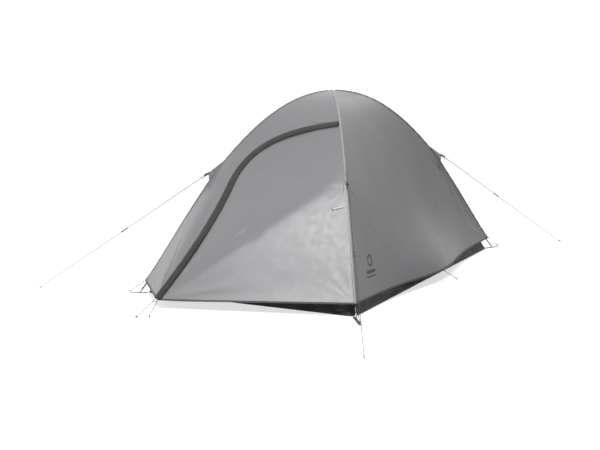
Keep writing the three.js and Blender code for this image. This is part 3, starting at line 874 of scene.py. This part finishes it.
def printed_mark():
    """A ring over two plain bars, laid out in rows and columns of the right side's grid."""
    centre = np.array([96.5, 13.4])
    right = np.array([0.8, 7.4]) / 2
    down = np.array([14.4, -1.5]) / 2
    a = np.linspace(0, 2 * pi, 49)
    strokes = [
        (np.stack([0.40 * np.cos(a), 0.36 * np.sin(a) - 0.46], 1), 0.15),
        ([(-0.80, 0.36), (0.80, 0.36)], 0.26),
        ([(-0.80, 0.74), (0.80, 0.74)], 0.12),
    ]
    pieces = []
    for k, (points, width) in enumerate(strokes):
        points = np.array(points)
        size = lengths_along(points)
        q = np.unique(np.r_[np.linspace(0, size[-1], 40), size])
        line = sample(points, size, q)
        along = unit(np.gradient(line, axis=0))
        across = np.stack([-along[:, 1], along[:, 0]], 1)
        rows = np.stack([line + across * width * w / 2 for w in (-1, 0, 1)], 1)
        grid = centre + rows[..., :1] * right + rows[..., 1:] * down
        p, n = on_right(grid[..., 0], grid[..., 1])
        uv = grid.reshape(-1, 2) * 0.01
        pieces.append(mesh_from(f"stroke_{k}", p + n * 0.0007, grid_faces(len(q), 3), PRINT, uv))
    mark = join("printed_mark", pieces)
    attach(mark, "tent")


printed_mark()


# ---- the zip under its storm flap ----
def zip_frame(s):
    """Points on the zip at the shares s, and the face's normals there."""
    flat = zip_flat(s)
    return zip_points(s), front_normal(flat[:, 0], flat[:, 1])


FLAP_HALF = 0.0235


def storm_flap():
    """Folded cloth sewn to the door on one edge. The other lies loose on the zip, and over its slider."""
    path, normals = zip_frame(np.linspace(0.006, 0.992, 300))
    length = lengths_along(path)
    local = np.random.default_rng(23)
    ripple = unevenness(length, local, 0.04, 0.16, 6)
    edge = unevenness(length, local, 0.05, 0.2, 5)
    x = np.array([-1, -0.86, -0.6, -0.3, 0, 0.3, 0.6, 0.80, 0.84, 0.88, 1.0])
    rest = np.array([0.0066, 0.0072, 0.0078, 0.0080, 0.0078, 0.0070, 0.0052, 0.0038, 0.0030, 0.0036, 0.0026])
    loose = np.clip((0.85 - x) / 1.2, 0, 1)
    profile = []
    over_slider = smooth(length, 0.0, 0.02) * (1 - smooth(length, 0.40, 0.52))
    for r, e, bulge in zip(ripple, edge, over_slider):
        across = -x * FLAP_HALF * np.where(x < 0, 1 + 0.05 * e, 1)
        top = rest + loose * (0.0022 * r + 0.0009) + 0.0048 * bulge * np.clip((0.97 - np.abs(x)) / 0.35, 0, 1)
        bottom = top - 0.0016
        profile.append(np.vstack([np.stack([across, top], 1), np.stack([across, bottom], 1)[::-1]]))
    return sweep("storm_flap_cloth", path, normals, np.array(profile), FLAP)


flap = storm_flap()
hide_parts("storm_flap")
ride_door(flap)


def zip_tape(name, node, sign):
    """Woven tape with a row of moulded teeth along one edge."""
    start = 0.004 if sign < 0 else 0.05
    s = np.linspace(start, 0.94, 300)
    path, normals = zip_frame(s)
    along = tangents(path)
    side = unit(np.cross(along, normals)) * -sign
    tape = sweep(name, path - side * 0.0062, normals, band_profile(0.0042, 0.0008, -0.0016), BINDING)
    length = lengths_along(path)
    pitch = 0.0030
    at = np.arange(pitch * (0.25 if sign < 0 else 0.75), length[-1], pitch)
    p = sample(path, length, at)
    a, b, n = (unit(sample(values, length, at)) for values in (along, side, normals))
    corners = np.array(list(product((-0.0007, 0.0007), (-0.0024, 0.0002), (-0.0022, 0.0008))))
    corners[:, 1] -= 0.0006
    points = (p[:, None] + a[:, None] * corners[None, :, :1] + b[:, None] * corners[None, :, 1:2]
              + n[:, None] * corners[None, :, 2:])
    box = [(0, 1, 3, 2), (4, 6, 7, 5), (0, 4, 5, 1), (2, 3, 7, 6), (0, 2, 6, 4), (1, 5, 7, 3)]
    faces = [tuple(8 * k + v for v in face) for k in range(len(at)) for face in box]
    teeth = mesh_from(name + "_teeth", points, faces, PLASTIC, soft=False)
    fix_normals(teeth)
    piece = join(name, [tape, teeth])
    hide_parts(node)
    return piece


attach(zip_tape("zip_tape_fly", "zip_chain_fly", -1), "tent")
ride_door(zip_tape("zip_tape_door", "zip_chain_door", 1))


def rounded_box(name, centre, axes, size, radius, material, segments=3):
    """A box with rounded edges, on its own axes."""
    bm = bmesh.new()
    bmesh.ops.create_cube(bm, size=1)
    for v in bm.verts:
        v.co = Vector([v.co[k] * size[k] for k in range(3)])
    bmesh.ops.bevel(bm, geom=list(bm.edges), offset=radius, segments=segments, profile=0.5, affect="EDGES")
    mesh = bpy.data.meshes.new(name)
    bm.to_mesh(mesh)
    bm.free()
    turn = Matrix([list(map(float, a)) for a in axes]).transposed()
    mesh.transform(Matrix.Translation(Vector(centre)) @ turn.to_4x4())
    mesh.polygons.foreach_set("use_smooth", [True] * len(mesh.polygons))
    mesh.uv_layers.new(name="UVMap")
    return add_object(name, mesh, material)


def box_of(node):
    """The low and high corners of a CAD node."""
    lo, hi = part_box(node)
    return np.array(lo), np.array(hi)


PULL_R = 0.0008


def zip_slider():
    """Two plates joined by a post, with a bridge for the pull, set along the zip's lower end."""
    lo, hi = box_of("zip_slider")
    centre = (lo + hi) / 2
    along = unit(np.array([0.1539, 0.7219, 0.6746]))
    normal = front_normal(np.array([centre[0]]), np.array([centre[2]]))[0]
    normal = unit(normal - along * np.dot(normal, along))
    side = np.cross(along, normal)
    axes = (along, side, normal)
    high, under, front = centre + normal * 0.0014, centre - normal * 0.0016, centre + along * 0.0035
    top = rounded_box("slider_top", high, axes, (0.0125, 0.0082, 0.0013), 0.0006, PLASTIC)
    low = rounded_box("slider_low", under, axes, (0.0120, 0.0078, 0.0011), 0.0005, PLASTIC)
    post = rounded_box("slider_post", front, axes, (0.0040, 0.0026, 0.0034), 0.0005, PLASTIC)
    bridge = tube("slider_bridge", [
        centre - along * 0.0040 + normal * 0.0018, centre - along * 0.0034 + normal * 0.0034,
        centre + along * 0.0010 + normal * 0.0038, centre + along * 0.0036 + normal * 0.0020,
    ], PULL_R, PLASTIC, sides=8, count=14)
    piece = join("zip_slider_body_moulding", [top, low, post, bridge])
    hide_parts("zip_slider")
    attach(piece, "zip_slider_body")


zip_slider()


def zip_pull():
    """A loop of thin dark cord, knotted, with its two ends hanging."""
    lo, hi = box_of("zip_pull")
    x = (lo[0] + hi[0]) / 2
    top = np.array([x, hi[1] - 0.0015, hi[2] - 0.0015])
    end = np.array([x, lo[1] + 0.0015, lo[2] + 0.0015])
    down = unit(end - top)
    size = np.linalg.norm(end - top)
    side = np.array([1.0, 0, 0])
    loop = tube("pull_loop", [
        top, top + down * size * 0.10 + side * 0.0021, top + down * size * 0.30 + side * 0.0016,
        top + down * size * 0.42, top + down * size * 0.30 - side * 0.0016,
        top + down * size * 0.10 - side * 0.0021, top,
    ], PULL_R, DARK_CORD, sides=8, count=40)
    tied = top + down * size * 0.44
    knot = torus("pull_knot", tied, down, 0.0012, 0.0012, DARK_CORD, sides=8)
    left = tube("pull_left", [
        tied, top + down * size * 0.72 - side * 0.0016, end - side * 0.0014,
    ], PULL_R, DARK_CORD, sides=8, count=16)
    right = tube("pull_right", [
        tied, top + down * size * 0.68 + side * 0.0018, end + side * 0.0012 - down * 0.004,
    ], PULL_R, DARK_CORD, sides=8, count=16)
    piece = join("zip_pull_cord", [loop, knot, left, right])
    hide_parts("zip_pull")
    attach(piece, "zip_pull_body")


zip_pull()


def on_door(points, off):
    """The same points on the door's finished cloth, and off it by a little."""
    flat = DOOR.reshape(-1, 3)
    normals = outward(DOOR).reshape(-1, 3)
    out = []
    for p in points:
        gap = np.hypot(flat[:, 0] - p[0], flat[:, 2] - p[2])
        near = np.argsort(gap)[:4]
        w = 1 / (gap[near] + 1e-5)
        w /= w.sum()
        out.append([p[0], (flat[near, 1] * w).sum(), p[2]] + unit((normals[near] * w[:, None]).sum(0)) * off)
    return np.array(out)


def door_tie():
    """The strap that holds the door rolled back: a flat tape with a toggle bar at its free end."""
    k = np.linspace(0, 1, 24)
    x, z = 0.446 - 0.058 * k, 0.528 - 0.016 * k
    normals = front_normal(x, z)
    lift = 0.0010 + 0.0024 * np.sin(k * pi) ** 2
    path = on_door(front_points(x, z), 0.0008) + normals * lift[:, None]
    strap = sweep("tie_strap", path, normals, band_profile(0.0048, 0.0010, 0, 0.0002), PALE_WEBBING)
    box = rounded_box(
        "tie_end", path[-2] + normals[-2] * 0.0012,
        (unit(path[-1] - path[-3]), unit(np.cross(normals[-2], path[-1] - path[-3])), normals[-2]),
        (0.0060, 0.0110, 0.0030), 0.0008, PLASTIC)
    piece = join("door_tie_strap", [strap, box])
    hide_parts("door_tie")
    ride_door(piece)


door_tie()


# ---- poles ----
FERRULE_LENGTH = 0.045
TIP_LENGTH = 0.025


def pole_half(sx, sy, drop):
    """From the top down to the foot; drop is how far one pole passes under the other."""
    t = T_HEM * np.arange(61) / 60
    p = ridge_point(sx, sy, t, POLE_IN)
    p[:, 2] -= drop * (1 - smooth(t, 0, 0.25))
    along = unit(p[-1] - p[-2])
    foot = p[-1] + along * (p[-1][2] - FOOT_Z) / -along[2]
    return np.vstack([p, foot])


for name, sx, sy, drop in (("pole_a", -1, -1, 0.0), ("pole_b", 1, -1, POLE_STEP)):
    line = np.vstack([pole_half(sx, sy, drop)[::-1], pole_half(-sx, -sy, drop)[1:]])
    length = lengths_along(line)
    ferrules = []
    for k in range(SECTIONS):
        start, end = length[-1] * k / SECTIONS, length[-1] * (k + 1) / SECTIONS
        q = np.linspace(start + 0.0003, end - 0.0003, 40)
        rod = tube(f"{name}_rod_{k + 1}", sample(line, length, q), POLE_R, FIBREGLASS, sides=16)
        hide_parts(f"{name}_section_{k + 1}")
        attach(rod, "tent")
        if k:
            q = np.linspace(start - FERRULE_LENGTH, start, 10)
            sleeve = tube(f"{name}_ferrule_{k}", sample(line, length, q), POLE_R + 0.0005, STEEL, sides=16)
            ferrules.append(sleeve)
    for k, a in enumerate((0.0, length[-1] - TIP_LENGTH)):
        q = np.linspace(a, a + TIP_LENGTH, 5)
        tip = tube(f"{name}_tip_{k}", sample(line, length, q), POLE_R + 0.0004, STEEL, sides=16)
        ferrules.append(tip)
    steel = join(f"{name}_ferrules", ferrules)
    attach(steel, "tent")


# ---- inner tent ----
INNER_FOOT_Z = TUB_Z + 0.003
ARCH_HALF = 0.430
ARCH_FOOT_Z = 0.112
ARCH_HIGH = 0.690
INNER_SAG = 0.040


def inner_rows(count):
    """Ridge parameters from the top down to the inner tent's foot."""
    t = np.linspace(0, T_HEM, 3000)
    z = ridge_point(1, 1, t, INNER_IN)[:, 2]
    foot = t[z >= INNER_FOOT_Z][-1]
    return np.linspace(0, foot, count)


def inner_sag(u, down):
    """How far a wall hangs inward, at the share u across and the share down."""
    return INNER_SAG * 4 * u * (1 - u) * smooth(down, 0, 0.4) * (1 - 0.85 * smooth(down, 0.6, 1))


def inner_grid(start, end, out, columns, rows):
    """A wall of the inner tent, from seam to seam."""
    a, b = ridge_point(*start, rows, INNER_IN), ridge_point(*end, rows, INNER_IN)
    u = np.linspace(0, 1, columns)[None, :, None]
    grid = a[:, None] * (1 - u) + b[:, None] * u
    down = (rows / rows[-1])[:, None]
    grid = grid - inner_sag(u[..., 0], down)[..., None] * np.array(out)
    grid[-1, :, 2] = INNER_FOOT_Z
    return grid


INNER_ROWS = inner_rows(50)
INNER_SIDES = [
    inner_grid((1, -1), (1, 1), (1, 0, 0), 60, INNER_ROWS),
    inner_grid((1, 1), (-1, 1), (0, 1, 0), 40, INNER_ROWS),
    inner_grid((-1, 1), (-1, -1), (-1, 0, 0), 60, INNER_ROWS),
]
INNER_FINE = inner_rows(600)
INNER_EDGE = ridge_point(1, -1, INNER_FINE, INNER_IN)


def inner_front(x, z):
    """The inner tent's front wall as a height field over (x, z)."""
    x, z = np.broadcast_arrays(np.asarray(x, float), np.asarray(z, float))
    t = np.interp(-z, -INNER_EDGE[:, 2], INNER_FINE)
    edge_x = np.interp(-z, -INNER_EDGE[:, 2], INNER_EDGE[:, 0])
    edge_y = np.interp(-z, -INNER_EDGE[:, 2], INNER_EDGE[:, 1])
    u = np.clip((x / np.maximum(edge_x, 1e-6) + 1) / 2, 0, 1)
    return np.stack([x, edge_y + inner_sag(u, t / INNER_FINE[-1]), z], -1)


def arch_grid():
    """From the doorway's arch out to the wall's edges, then the strip under the doorway."""
    angle = np.linspace(0, pi, 121)
    c, s = np.cos(angle), np.sin(angle)
    arch = np.stack([ARCH_HALF * c, ARCH_FOOT_Z + ARCH_HIGH * s], 1)
    top_z = INNER_EDGE[0, 2]
    reach = np.full(len(angle), 3.0)
    for k in range(len(angle)):
        q = np.linspace(0, 3, 3000)
        x, z = np.abs(q * c[k]), ARCH_FOOT_Z + q * s[k]
        inside = (z <= top_z) & (x <= np.interp(-z, -INNER_EDGE[:, 2], INNER_EDGE[:, 0]))
        reach[k] = q[inside][-1]
    rim = np.stack([reach * c, ARCH_FOOT_Z + reach * s], 1)
    v = np.linspace(0, 1, 26)[:, None, None]
    flat = arch[None] * (1 - v) + rim[None] * v
    upper = inner_front(flat[..., 0], flat[..., 1])
    z = np.linspace(ARCH_FOOT_Z, INNER_FOOT_Z, 4)[:, None]
    x = np.linspace(-1, 1, 61)[None] * np.interp(-z, -INNER_EDGE[:, 2], INNER_EDGE[:, 0])
    return upper, inner_front(x, np.broadcast_to(z, x.shape)), arch


upper, strip, ARCH = arch_grid()
inner = cloth_from_grids("inner_tent_cloth", INNER_SIDES + [upper, strip], INNER, 0.0008)
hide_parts("inner_canopy")
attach(inner, "tent")


def inner_door():
    """The arched panel that fills the doorway, a little uneven."""
    v = np.linspace(0.004, 0.992, 30)[:, None, None]
    centre = np.array([0, ARCH_FOOT_Z + 0.004])
    flat = centre + (ARCH[None] - centre) * v
    grid = inner_front(flat[..., 0], flat[..., 1])
    grid = grid + np.array([0, 1, 0]) * wave(grid, 9, 0.25, 0.002)[..., None]
    return grid


INNER_DOOR = inner_door()
door_in = cloth_from_grids("inner_door_cloth", [INNER_DOOR], INNER, 0.0008)
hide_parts("inner_door")
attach(door_in, "inner_door_panel")

arch_path = inner_front(ARCH[::2, 0] * 1.006, ARCH[::2, 1] + 0.002)
arch_out = np.broadcast_to(np.array([0.0, -1.0, 0.35]), arch_path.shape)
arch_path = arch_path + [0, -0.0016, 0]
arch_zip = sweep("inner_door_zip", arch_path, arch_out, band_profile(0.0080, 0.0014), BINDING)
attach(arch_zip, "tent")

seams = []
for k, (sx, sy) in enumerate(CORNERS.values()):
    t = np.linspace(0.02, INNER_ROWS[-1], 80)
    path = ridge_point(sx, sy, t, INNER_IN)
    profile = band_profile(0.0060, 0.0016, -0.0006)
    seams.append(sweep(f"inner_seam_{k}", path, ridge_out(sx, sy, t), profile, PIPING))
inner_seams = join("inner_tent_seams", seams)
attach(inner_seams, "tent")

HOOKS_AT = (0.22, 0.36, 0.50, 0.64, 0.77)
hooks = []
for k, (sx, sy) in enumerate(CORNERS.values()):
    drop = POLE_STEP if sx * sy < 0 else 0.0
    for t in HOOKS_AT:
        skin = ridge_point(sx, sy, t, INNER_IN)
        pole = ridge_point(sx, sy, t, POLE_IN) - [0, 0, drop * (1 - float(smooth(t, 0, 0.25)))]
        out = unit(pole - skin)
        along = unit(ridge_point(sx, sy, t + 0.01) - ridge_point(sx, sy, t - 0.01))
        hooks.append(torus("hook", pole, along, POLE_R + 0.0022, 0.0016, PLASTIC, turn=0.72, sides=8))
        strap = np.array([skin, skin + (pole - skin) * 0.55])
        profile = band_profile(0.0060, 0.0012)
        hooks.append(sweep("hook_strap", strap, np.array([along, along]), profile, WEBBING))
pole_hooks = join("inner_tent_pole_hooks", hooks)
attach(pole_hooks, "tent")

lo, hi = box_of("inner_zip_slider")
centre = (lo + hi) / 2
size = tuple((hi - lo) * [0.9, 0.62, 0.86])
slider = rounded_box("inner_slider_moulding", centre, np.eye(3), size, 0.0013, PLASTIC)
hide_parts("inner_zip_slider")
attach(slider, "inner_slider_body")


# ---- groundsheet ----
def rounded_ring(x, y, radius, per_corner=14, per_side=60):
    """A rounded rectangle, densely and evenly set out, in the same order at every height."""
    ring = []
    for k, (sx, sy) in enumerate([(1, 1), (-1, 1), (-1, -1), (1, -1)]):
        a = pi / 2 * (k + np.linspace(0, 1, per_corner))
        arc = np.stack([sx * (x - radius) + radius * np.cos(a), sy * (y - radius) + radius * np.sin(a)], 1)
        ring.append(arc)
    out = []
    for k in range(4):
        out.append(ring[k])
        a, b = ring[k][-1], ring[(k + 1) % 4][0]
        out.append(a + (b - a) * np.linspace(0, 1, per_side)[1:-1, None])
    return np.vstack(out)


def tub():
    """The groundsheet's creased walls, from the rim down, and then its floor, from the edge inward."""
    heights = np.r_[np.linspace(TUB_Z, 0.006, 16), 0.0025]
    rings = []
    for z in heights:
        lean = TUB_LEAN * z / TUB_Z
        flat = rounded_ring(FLOOR_X - lean - 0.001, FLOOR_Y - lean - 0.001, TUB_R)
        rings.append(np.column_stack([flat, np.full(len(flat), z)]))
    wall = np.array(rings)
    centre = unit(wall * [1, 1, 0])
    bend = np.sin(pi * np.clip(wall[..., 2] / TUB_Z, 0, 1))
    crease = wave(wall * [1, 1, 2.4], 31, 0.13, 0.0085) + wave(wall * [1, 1, 3.0], 33, 0.06, 0.0016)
    sag = 0.004 * bend
    wall = wall - centre * ((np.abs(crease) * 0.9 + sag) * (0.25 + 0.75 * bend))[..., None]
    floor = []
    for k in np.linspace(1, 0, 30):
        ring = wall[-1] * [k, k, 1]
        ring[:, 2] = 0.0025 + 0.0022 * smooth(1 - k, 0, 0.05) * (1 + wave(ring * [1, 1, 0], 35, 0.35, 0.8))
        floor.append(ring)
    grid = np.concatenate([wall, np.array(floor)[1:]])
    return np.concatenate([grid, grid[:, :1]], 1)


TUB_GRID = tub()
groundsheet = cloth_from_grids("groundsheet_tub", [TUB_GRID], TUB, 0.0009)
fix_normals(groundsheet)
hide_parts("groundsheet")
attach(groundsheet, "tent")

rim = TUB_GRID[0]
tub_seam = edge_strip(
    "groundsheet_rim_tape", rim, TUB_GRID[2], BINDING, half=0.0060, thick=0.0012, lift=0.0010)
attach(tub_seam, "tent")


# ---- pegs, straps, cords ----
# a peg's hook from the side, as (distance out, height)
HOOK_SIDE = (
    (0, 0), (0, 0.005), (0, 0.010), (0.0015, 0.015), (0.006, 0.0172), (0.0105, 0.015), (0.012, 0.010),
)
STRAP_IN = 0.016


def peg_head(node, x, y, towards):
    """What shows of a driven peg: a rod bent to a hook that opens away from the tent."""
    away = unit(np.array([x - towards[0], y - towards[1], 0.0]))
    points = [np.array([x, y, 0]) + away * d + [0, 0, z] for d, z in HOOK_SIDE]
    piece = tube(node.replace("peg", "hook_peg"), points, 0.0020, STEEL, sides=14, count=36)
    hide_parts(node)
    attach(piece, "tent")
    return piece


def sewn_corner(name):
    """Where a corner's strap is sewn under the groundsheet."""
    sx, sy = CORNERS[name]
    return np.array([sx * (FLOOR_X - STRAP_IN), sy * (FLOOR_Y - STRAP_IN), 0.0])


def corner_strap(name, peg):
    """Webbing sewn under the groundsheet's corner, narrower and a little raised by the peg."""
    tip = np.array([peg[0], peg[1], 0.0])
    start = sewn_corner(name)
    along = unit(tip - start)
    size = np.linalg.norm(tip - start)
    q = np.linspace(0.008, size - 0.005, 30)
    lift = 0.0002 + 0.0012 * smooth(q, size - 0.03, size - 0.01)
    path = start + along * q[:, None] + np.array([0, 0, 1.0]) * lift[:, None]
    width = np.where(q > size - 0.018, 0.0085, 0.0098)
    profile = np.array([band_profile(w, 0.0016, 0.0, 0.0002) for w in width])
    up = np.broadcast_to([0, 0, 1.0], path.shape)
    piece = sweep(f"corner_webbing_{name}", path, up, profile, WEBBING)
    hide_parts(f"corner_strap_{name}")
    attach(piece, "tent")


def knot(centre, axis, radius, material, name):
    """A small overhand knot: three turns crossing."""
    axis = unit(axis)
    u = unit(np.cross(axis, (0.3, 0.2, 1)))
    v = np.cross(axis, u)
    a = np.linspace(0, 2 * pi, 60)
    ring = np.cos(2 * a)[:, None] * u + np.sin(2 * a)[:, None] * v
    path = centre + (radius * (1 + 0.35 * np.cos(3 * a)))[:, None] * ring
    path = path + (radius * 0.9 * np.sin(3 * a))[:, None] * axis
    return sweep(name, path, transport(path), circle(radius * 0.62, 8), material)


def line_piece(name, node, material, knots=(0.0,)):
    """A taut line of braided cord, and as a second piece its knots and the loop round its peg."""
    a, b = CORD_ENDS[node]
    along = unit(b - a)
    path = np.linspace(a, b, 24)
    cord = tube(name, path, CORD_D / 2, material, sides=10)
    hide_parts(node)
    across = unit(np.cross(along, np.cross(along, (0, 0, 1.0))))
    parts = [torus(name + "_loop", b + along * 0.0035, across, 0.0040, CORD_D * 0.4, material)]
    for k, d in enumerate(knots):
        parts.append(knot(a + along * (0.005 + d), along, CORD_D * 0.62, material, f"{name}_knot_{k}"))
    parts.append(knot(b - along * 0.006, along, CORD_D * 0.62, material, f"{name}_knot_end"))
    tied = join(name + "_knots", parts)
    for piece in (cord, tied):
        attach(piece, "tent")
    return cord, path, tied


def tab_tip(name):
    """The tip of a guy tab, where its line starts."""
    sx, sy = CORNERS[name]
    root = ridge_point(sx, sy, T_GUY)
    out = unit(ridge_point(sx, sy, T_GUY, -0.001) - root)
    return root + out * TAB_OUT - [0, 0, TAB_DROP]


# where the pegs stand, and each runner's place as a share of its guy-line
CORNER_PEGS = {
    "front_left": (-0.728, -1.130), "front_right": (0.746, -1.237),
    "back_right": (0.695, 1.165), "back_left": (-0.715, 1.160),
}
GUY_PEGS = {
    "front_left": (-1.249, -1.271), "front_right": (1.016, -1.807),
    "back_right": (1.026, 1.505), "back_left": (-1.120, 1.480),
}
PORCH_PEGS = {"left": (-0.357, -1.622), "right": (-0.303, -1.583)}
SIDE_PEG = (0.812, 0.020)
RUNNER_AT = {"front_left": 0.50, "front_right": 0.45, "back_right": 0.45, "back_left": 0.50}


def between(start, peg, height, near, far):
    """A cord's ends: near from where it is tied, and far short of its peg."""
    peg = np.array([*peg, height])
    along = unit(peg - start)
    return start + along * near, peg - along * far


def cord_ends():
    """Both ends of every cord, by the name of its node."""
    ends = {}
    for name, (sx, sy) in CORNERS.items():
        hem = ridge_point(sx, sy, T_HEM, -0.003)
        ends[f"guy_line_{name}"] = between(tab_tip(name), GUY_PEGS[name], 0.010, 0.0025, 0.005)
        ends[f"corner_cord_{name}"] = between(hem, CORNER_PEGS[name], 0.009, 0.002, 0.0045)
    for name, shift in (("left", -0.011), ("right", 0.010)):
        tie = PORCH + [shift, -0.006, -0.003]
        ends[f"porch_cord_{name}"] = between(tie, PORCH_PEGS[name], 0.009, 0.0, 0.005)
    reach = DIAG[0] * float(ridge_curve(T_HEM)[0]) + SIDE_PULL - 0.1 * SIDE_SAG
    for name, sign in (("right", 1), ("left", -1)):
        tie = np.array([sign * reach, 0, HEM_Z - 0.010])
        ends[f"side_cord_{name}"] = between(tie, (sign * SIDE_PEG[0], SIDE_PEG[1]), 0.009, 0.003, 0.0045)
    return ends


CORD_ENDS = cord_ends()


def guy_tab(name):
    """A gusset of cloth drawn out of the ridge seam, and the loop and toggle that the line hangs on."""
    sx, sy = CORNERS[name]
    tip = tab_tip(name)
    side = np.array([-sy * DIAG[1], sx * DIAG[0], 0])
    rows, count = 14, 18
    seam = ridge_path(sx, sy, np.linspace(T_GUY - 0.056, T_GUY + 0.014, count))
    low_tip = tip + (seam[-1] - tip) * 0.16
    edge = np.linspace(tip, low_tip, count)
    grid = np.array([seam * (1 - k) + edge * k for k in np.linspace(0, 1, rows)])
    local = np.random.default_rng(90 + len(name))
    waves = (np.sin(np.arange(count) * local.uniform(0.9, 2.2) + local.uniform(0, 6)) for _ in range(3))
    gather = sum(waves) / 3
    grid = grid + side * (gather[None] * 0.0016 * np.sin(np.linspace(0, pi, rows))[:, None])[..., None]
    points, faces = [], []
    for sign in (1, -1):
        faces += grid_faces(rows, count, len(points) * rows * count)
        swell = np.linspace(0.0034, 0.0012, rows)[:, None, None]
        points.append(grid + side * swell * sign)
    uv = np.concatenate([grid_uv(grid).reshape(-1, 2)] * 2)
    gusset = mesh_from(f"guy_tab_gusset_{name}", np.concatenate(points), faces, PIPING, uv)
    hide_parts(f"guy_tab_{name}")
    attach(gusset, "tent")
    a, b = CORD_ENDS[f"guy_line_{name}"]
    along = unit(b - a)
    across = unit(np.cross(along, side))
    loop = torus("tab_loop", tip - along * 0.002, side, 0.0050, 0.0016, WEBBING)
    axes = (along, side, across)
    toggle = rounded_box("tab_toggle", a + along * 0.013, axes, (0.026, 0.019, 0.009), 0.0026, PLASTIC)
    ends = tube("tab_end", [
        a + along * 0.018, a + along * 0.028 - across * 0.006, a + along * 0.036 - [0, 0, 0.016],
    ], CORD_D * 0.45, DARK_CORD, sides=8, count=14)
    fitting = join(f"guy_tab_toggle_{name}", [loop, toggle, ends])
    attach(fitting, "tent")
    return fitting


def runner(name):
    """A dog-bone runner: a slim bar, thicker at both ends, that the line is threaded through."""
    a, b = CORD_ENDS[f"guy_line_{name}"]
    along = unit(b - a)
    middle = a + (b - a) * RUNNER_AT[name]
    q = np.linspace(-0.022, 0.022, 41)
    path = middle + along * q[:, None]
    up = unit(np.cross(np.cross(along, (0, 0, 1.0)), along))
    ends = np.abs(q) / 0.022
    rounding = np.sqrt(np.clip(1 - ((ends - 0.8) / 0.22).clip(0) ** 2, 0.02, 1))
    wide = (0.0052 + 0.0026 * smooth(ends, 0.45, 0.8)) * rounding
    deep = (0.0032 + 0.0010 * smooth(ends, 0.45, 0.8)) * rounding
    ring = circle(1.0, 20)
    profile = np.array([ring * [w, d] for w, d in zip(wide, deep)])
    piece = sweep(f"runner_moulding_{name}", path, np.broadcast_to(up, path.shape), profile, PLASTIC)
    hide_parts(f"guy_runner_{name}")
    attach(piece, f"runner_{name}")


def pegged(kind, name, peg, towards, material, fittings=(), knots=(0.0,)):
    """A peg and the taut cord that is tied to it. fittings, for whatever else the cord holds, is not used."""
    line, node = ("cord", "line") if kind == "guy" else ("line", "cord")
    hook = peg_head(f"{kind}_peg_{name}", *peg, towards)
    cord, path, tied = line_piece(f"{kind}_{line}_{name}", f"{kind}_{node}_{name}", material, knots)


for name in CORNERS:
    corner_strap(name, CORNER_PEGS[name])
    shade = DARK_CORD if name.startswith("front") else CORD
    pegged("corner", name, CORNER_PEGS[name], sewn_corner(name), shade)
    pegged("guy", name, GUY_PEGS[name], GUY_ROOTS[name], CORD, (guy_tab(name),), knots=(0.040,))
    runner(name)
for name, peg in PORCH_PEGS.items():
    pegged("porch", name, peg, PORCH, DARK_CORD)
for name, sign in (("right", 1), ("left", -1)):
    pegged("side", name, (sign * SIDE_PEG[0], SIDE_PEG[1]), (sign * 0.740, 0), DARK_CORD)


# ---- floor, light and world ----
FLOOR_GLOW = 0.66


def stage_floor():
    """A pale light-table floor, which keeps the shadows under the tent soft."""
    bpy.ops.mesh.primitive_circle_add(vertices=96, radius=6.0, fill_type="NGON", location=(0, 0, -0.0006))
    floor = bpy.context.object
    floor.name = "floor"
    t = Tree("studio_floor")
    t.shade(
        Base_Color=(0.45, 0.45, 0.45, 1), Emission_Color=(1.0, 1.0, 1.0, 1), Emission_Strength=FLOOR_GLOW,
        Roughness=0.9, Specular_IOR_Level=0.1,
    )
    floor.data.materials.append(t.material)


stage_floor()


def area_light(name, location, target, size, energy):
    """A rectangular soft light that faces its target."""
    data = bpy.data.lights.new(name, "AREA")
    data.shape = "RECTANGLE"
    data.size, data.size_y = size
    data.energy = energy
    light = bpy.data.objects.new(name, data)
    light.location = location
    light.rotation_euler = (Vector(target) - Vector(location)).to_track_quat("-Z", "Y").to_euler()
    bpy.context.scene.collection.objects.link(light)


area_light("key", (0.42, -3.15, 4.90), (0.2, -1.0, 0.35), (2.2, 1.6), 256)
area_light("front", (-0.4, -7.0, 0.75), (0.1, -0.9, 0.1), (3.0, 0.8), 190)
area_light("back", (1.2, 2.6, 4.0), (0.3, 0.0, 0.8), (2.0, 2.0), 66)


def studio_world():
    """A room lit from behind the tent's left and above, and plain white where the camera sees it."""
    world = bpy.data.worlds.new("studio")
    world.use_nodes = True
    nodes, links = world.node_tree.nodes, world.node_tree.links
    place = nodes.new("ShaderNodeTexCoord")
    dot = nodes.new("ShaderNodeVectorMath")
    dot.operation = "DOT_PRODUCT"
    dot.inputs[1].default_value = Vector((-0.75, 0.55, 0.38)).normalized()
    spread = nodes.new("ShaderNodeMapRange")
    spread.interpolation_type = "SMOOTHSTEP"
    for key, value in {"From Min": 0.02, "From Max": 0.80, "To Min": 0.20, "To Max": 1.24}.items():
        spread.inputs[key].default_value = value
    links.new(place.outputs["Generated"], dot.inputs[0])
    links.new(dot.outputs["Value"], spread.inputs["Value"])
    seen = nodes.new("ShaderNodeLightPath")
    white = nodes.new("ShaderNodeMix")
    white.inputs["B"].default_value = 1.05
    links.new(seen.outputs["Is Camera Ray"], white.inputs["Factor"])
    links.new(spread.outputs["Result"], white.inputs["A"])
    links.new(white.outputs["Result"], nodes["Background"].inputs["Strength"])
    nodes["Background"].inputs["Color"].default_value = (1.0, 1.0, 1.0, 1)
    return world


bpy.context.scene.world = studio_world()
bpy.context.scene.view_settings.view_transform = "Standard"
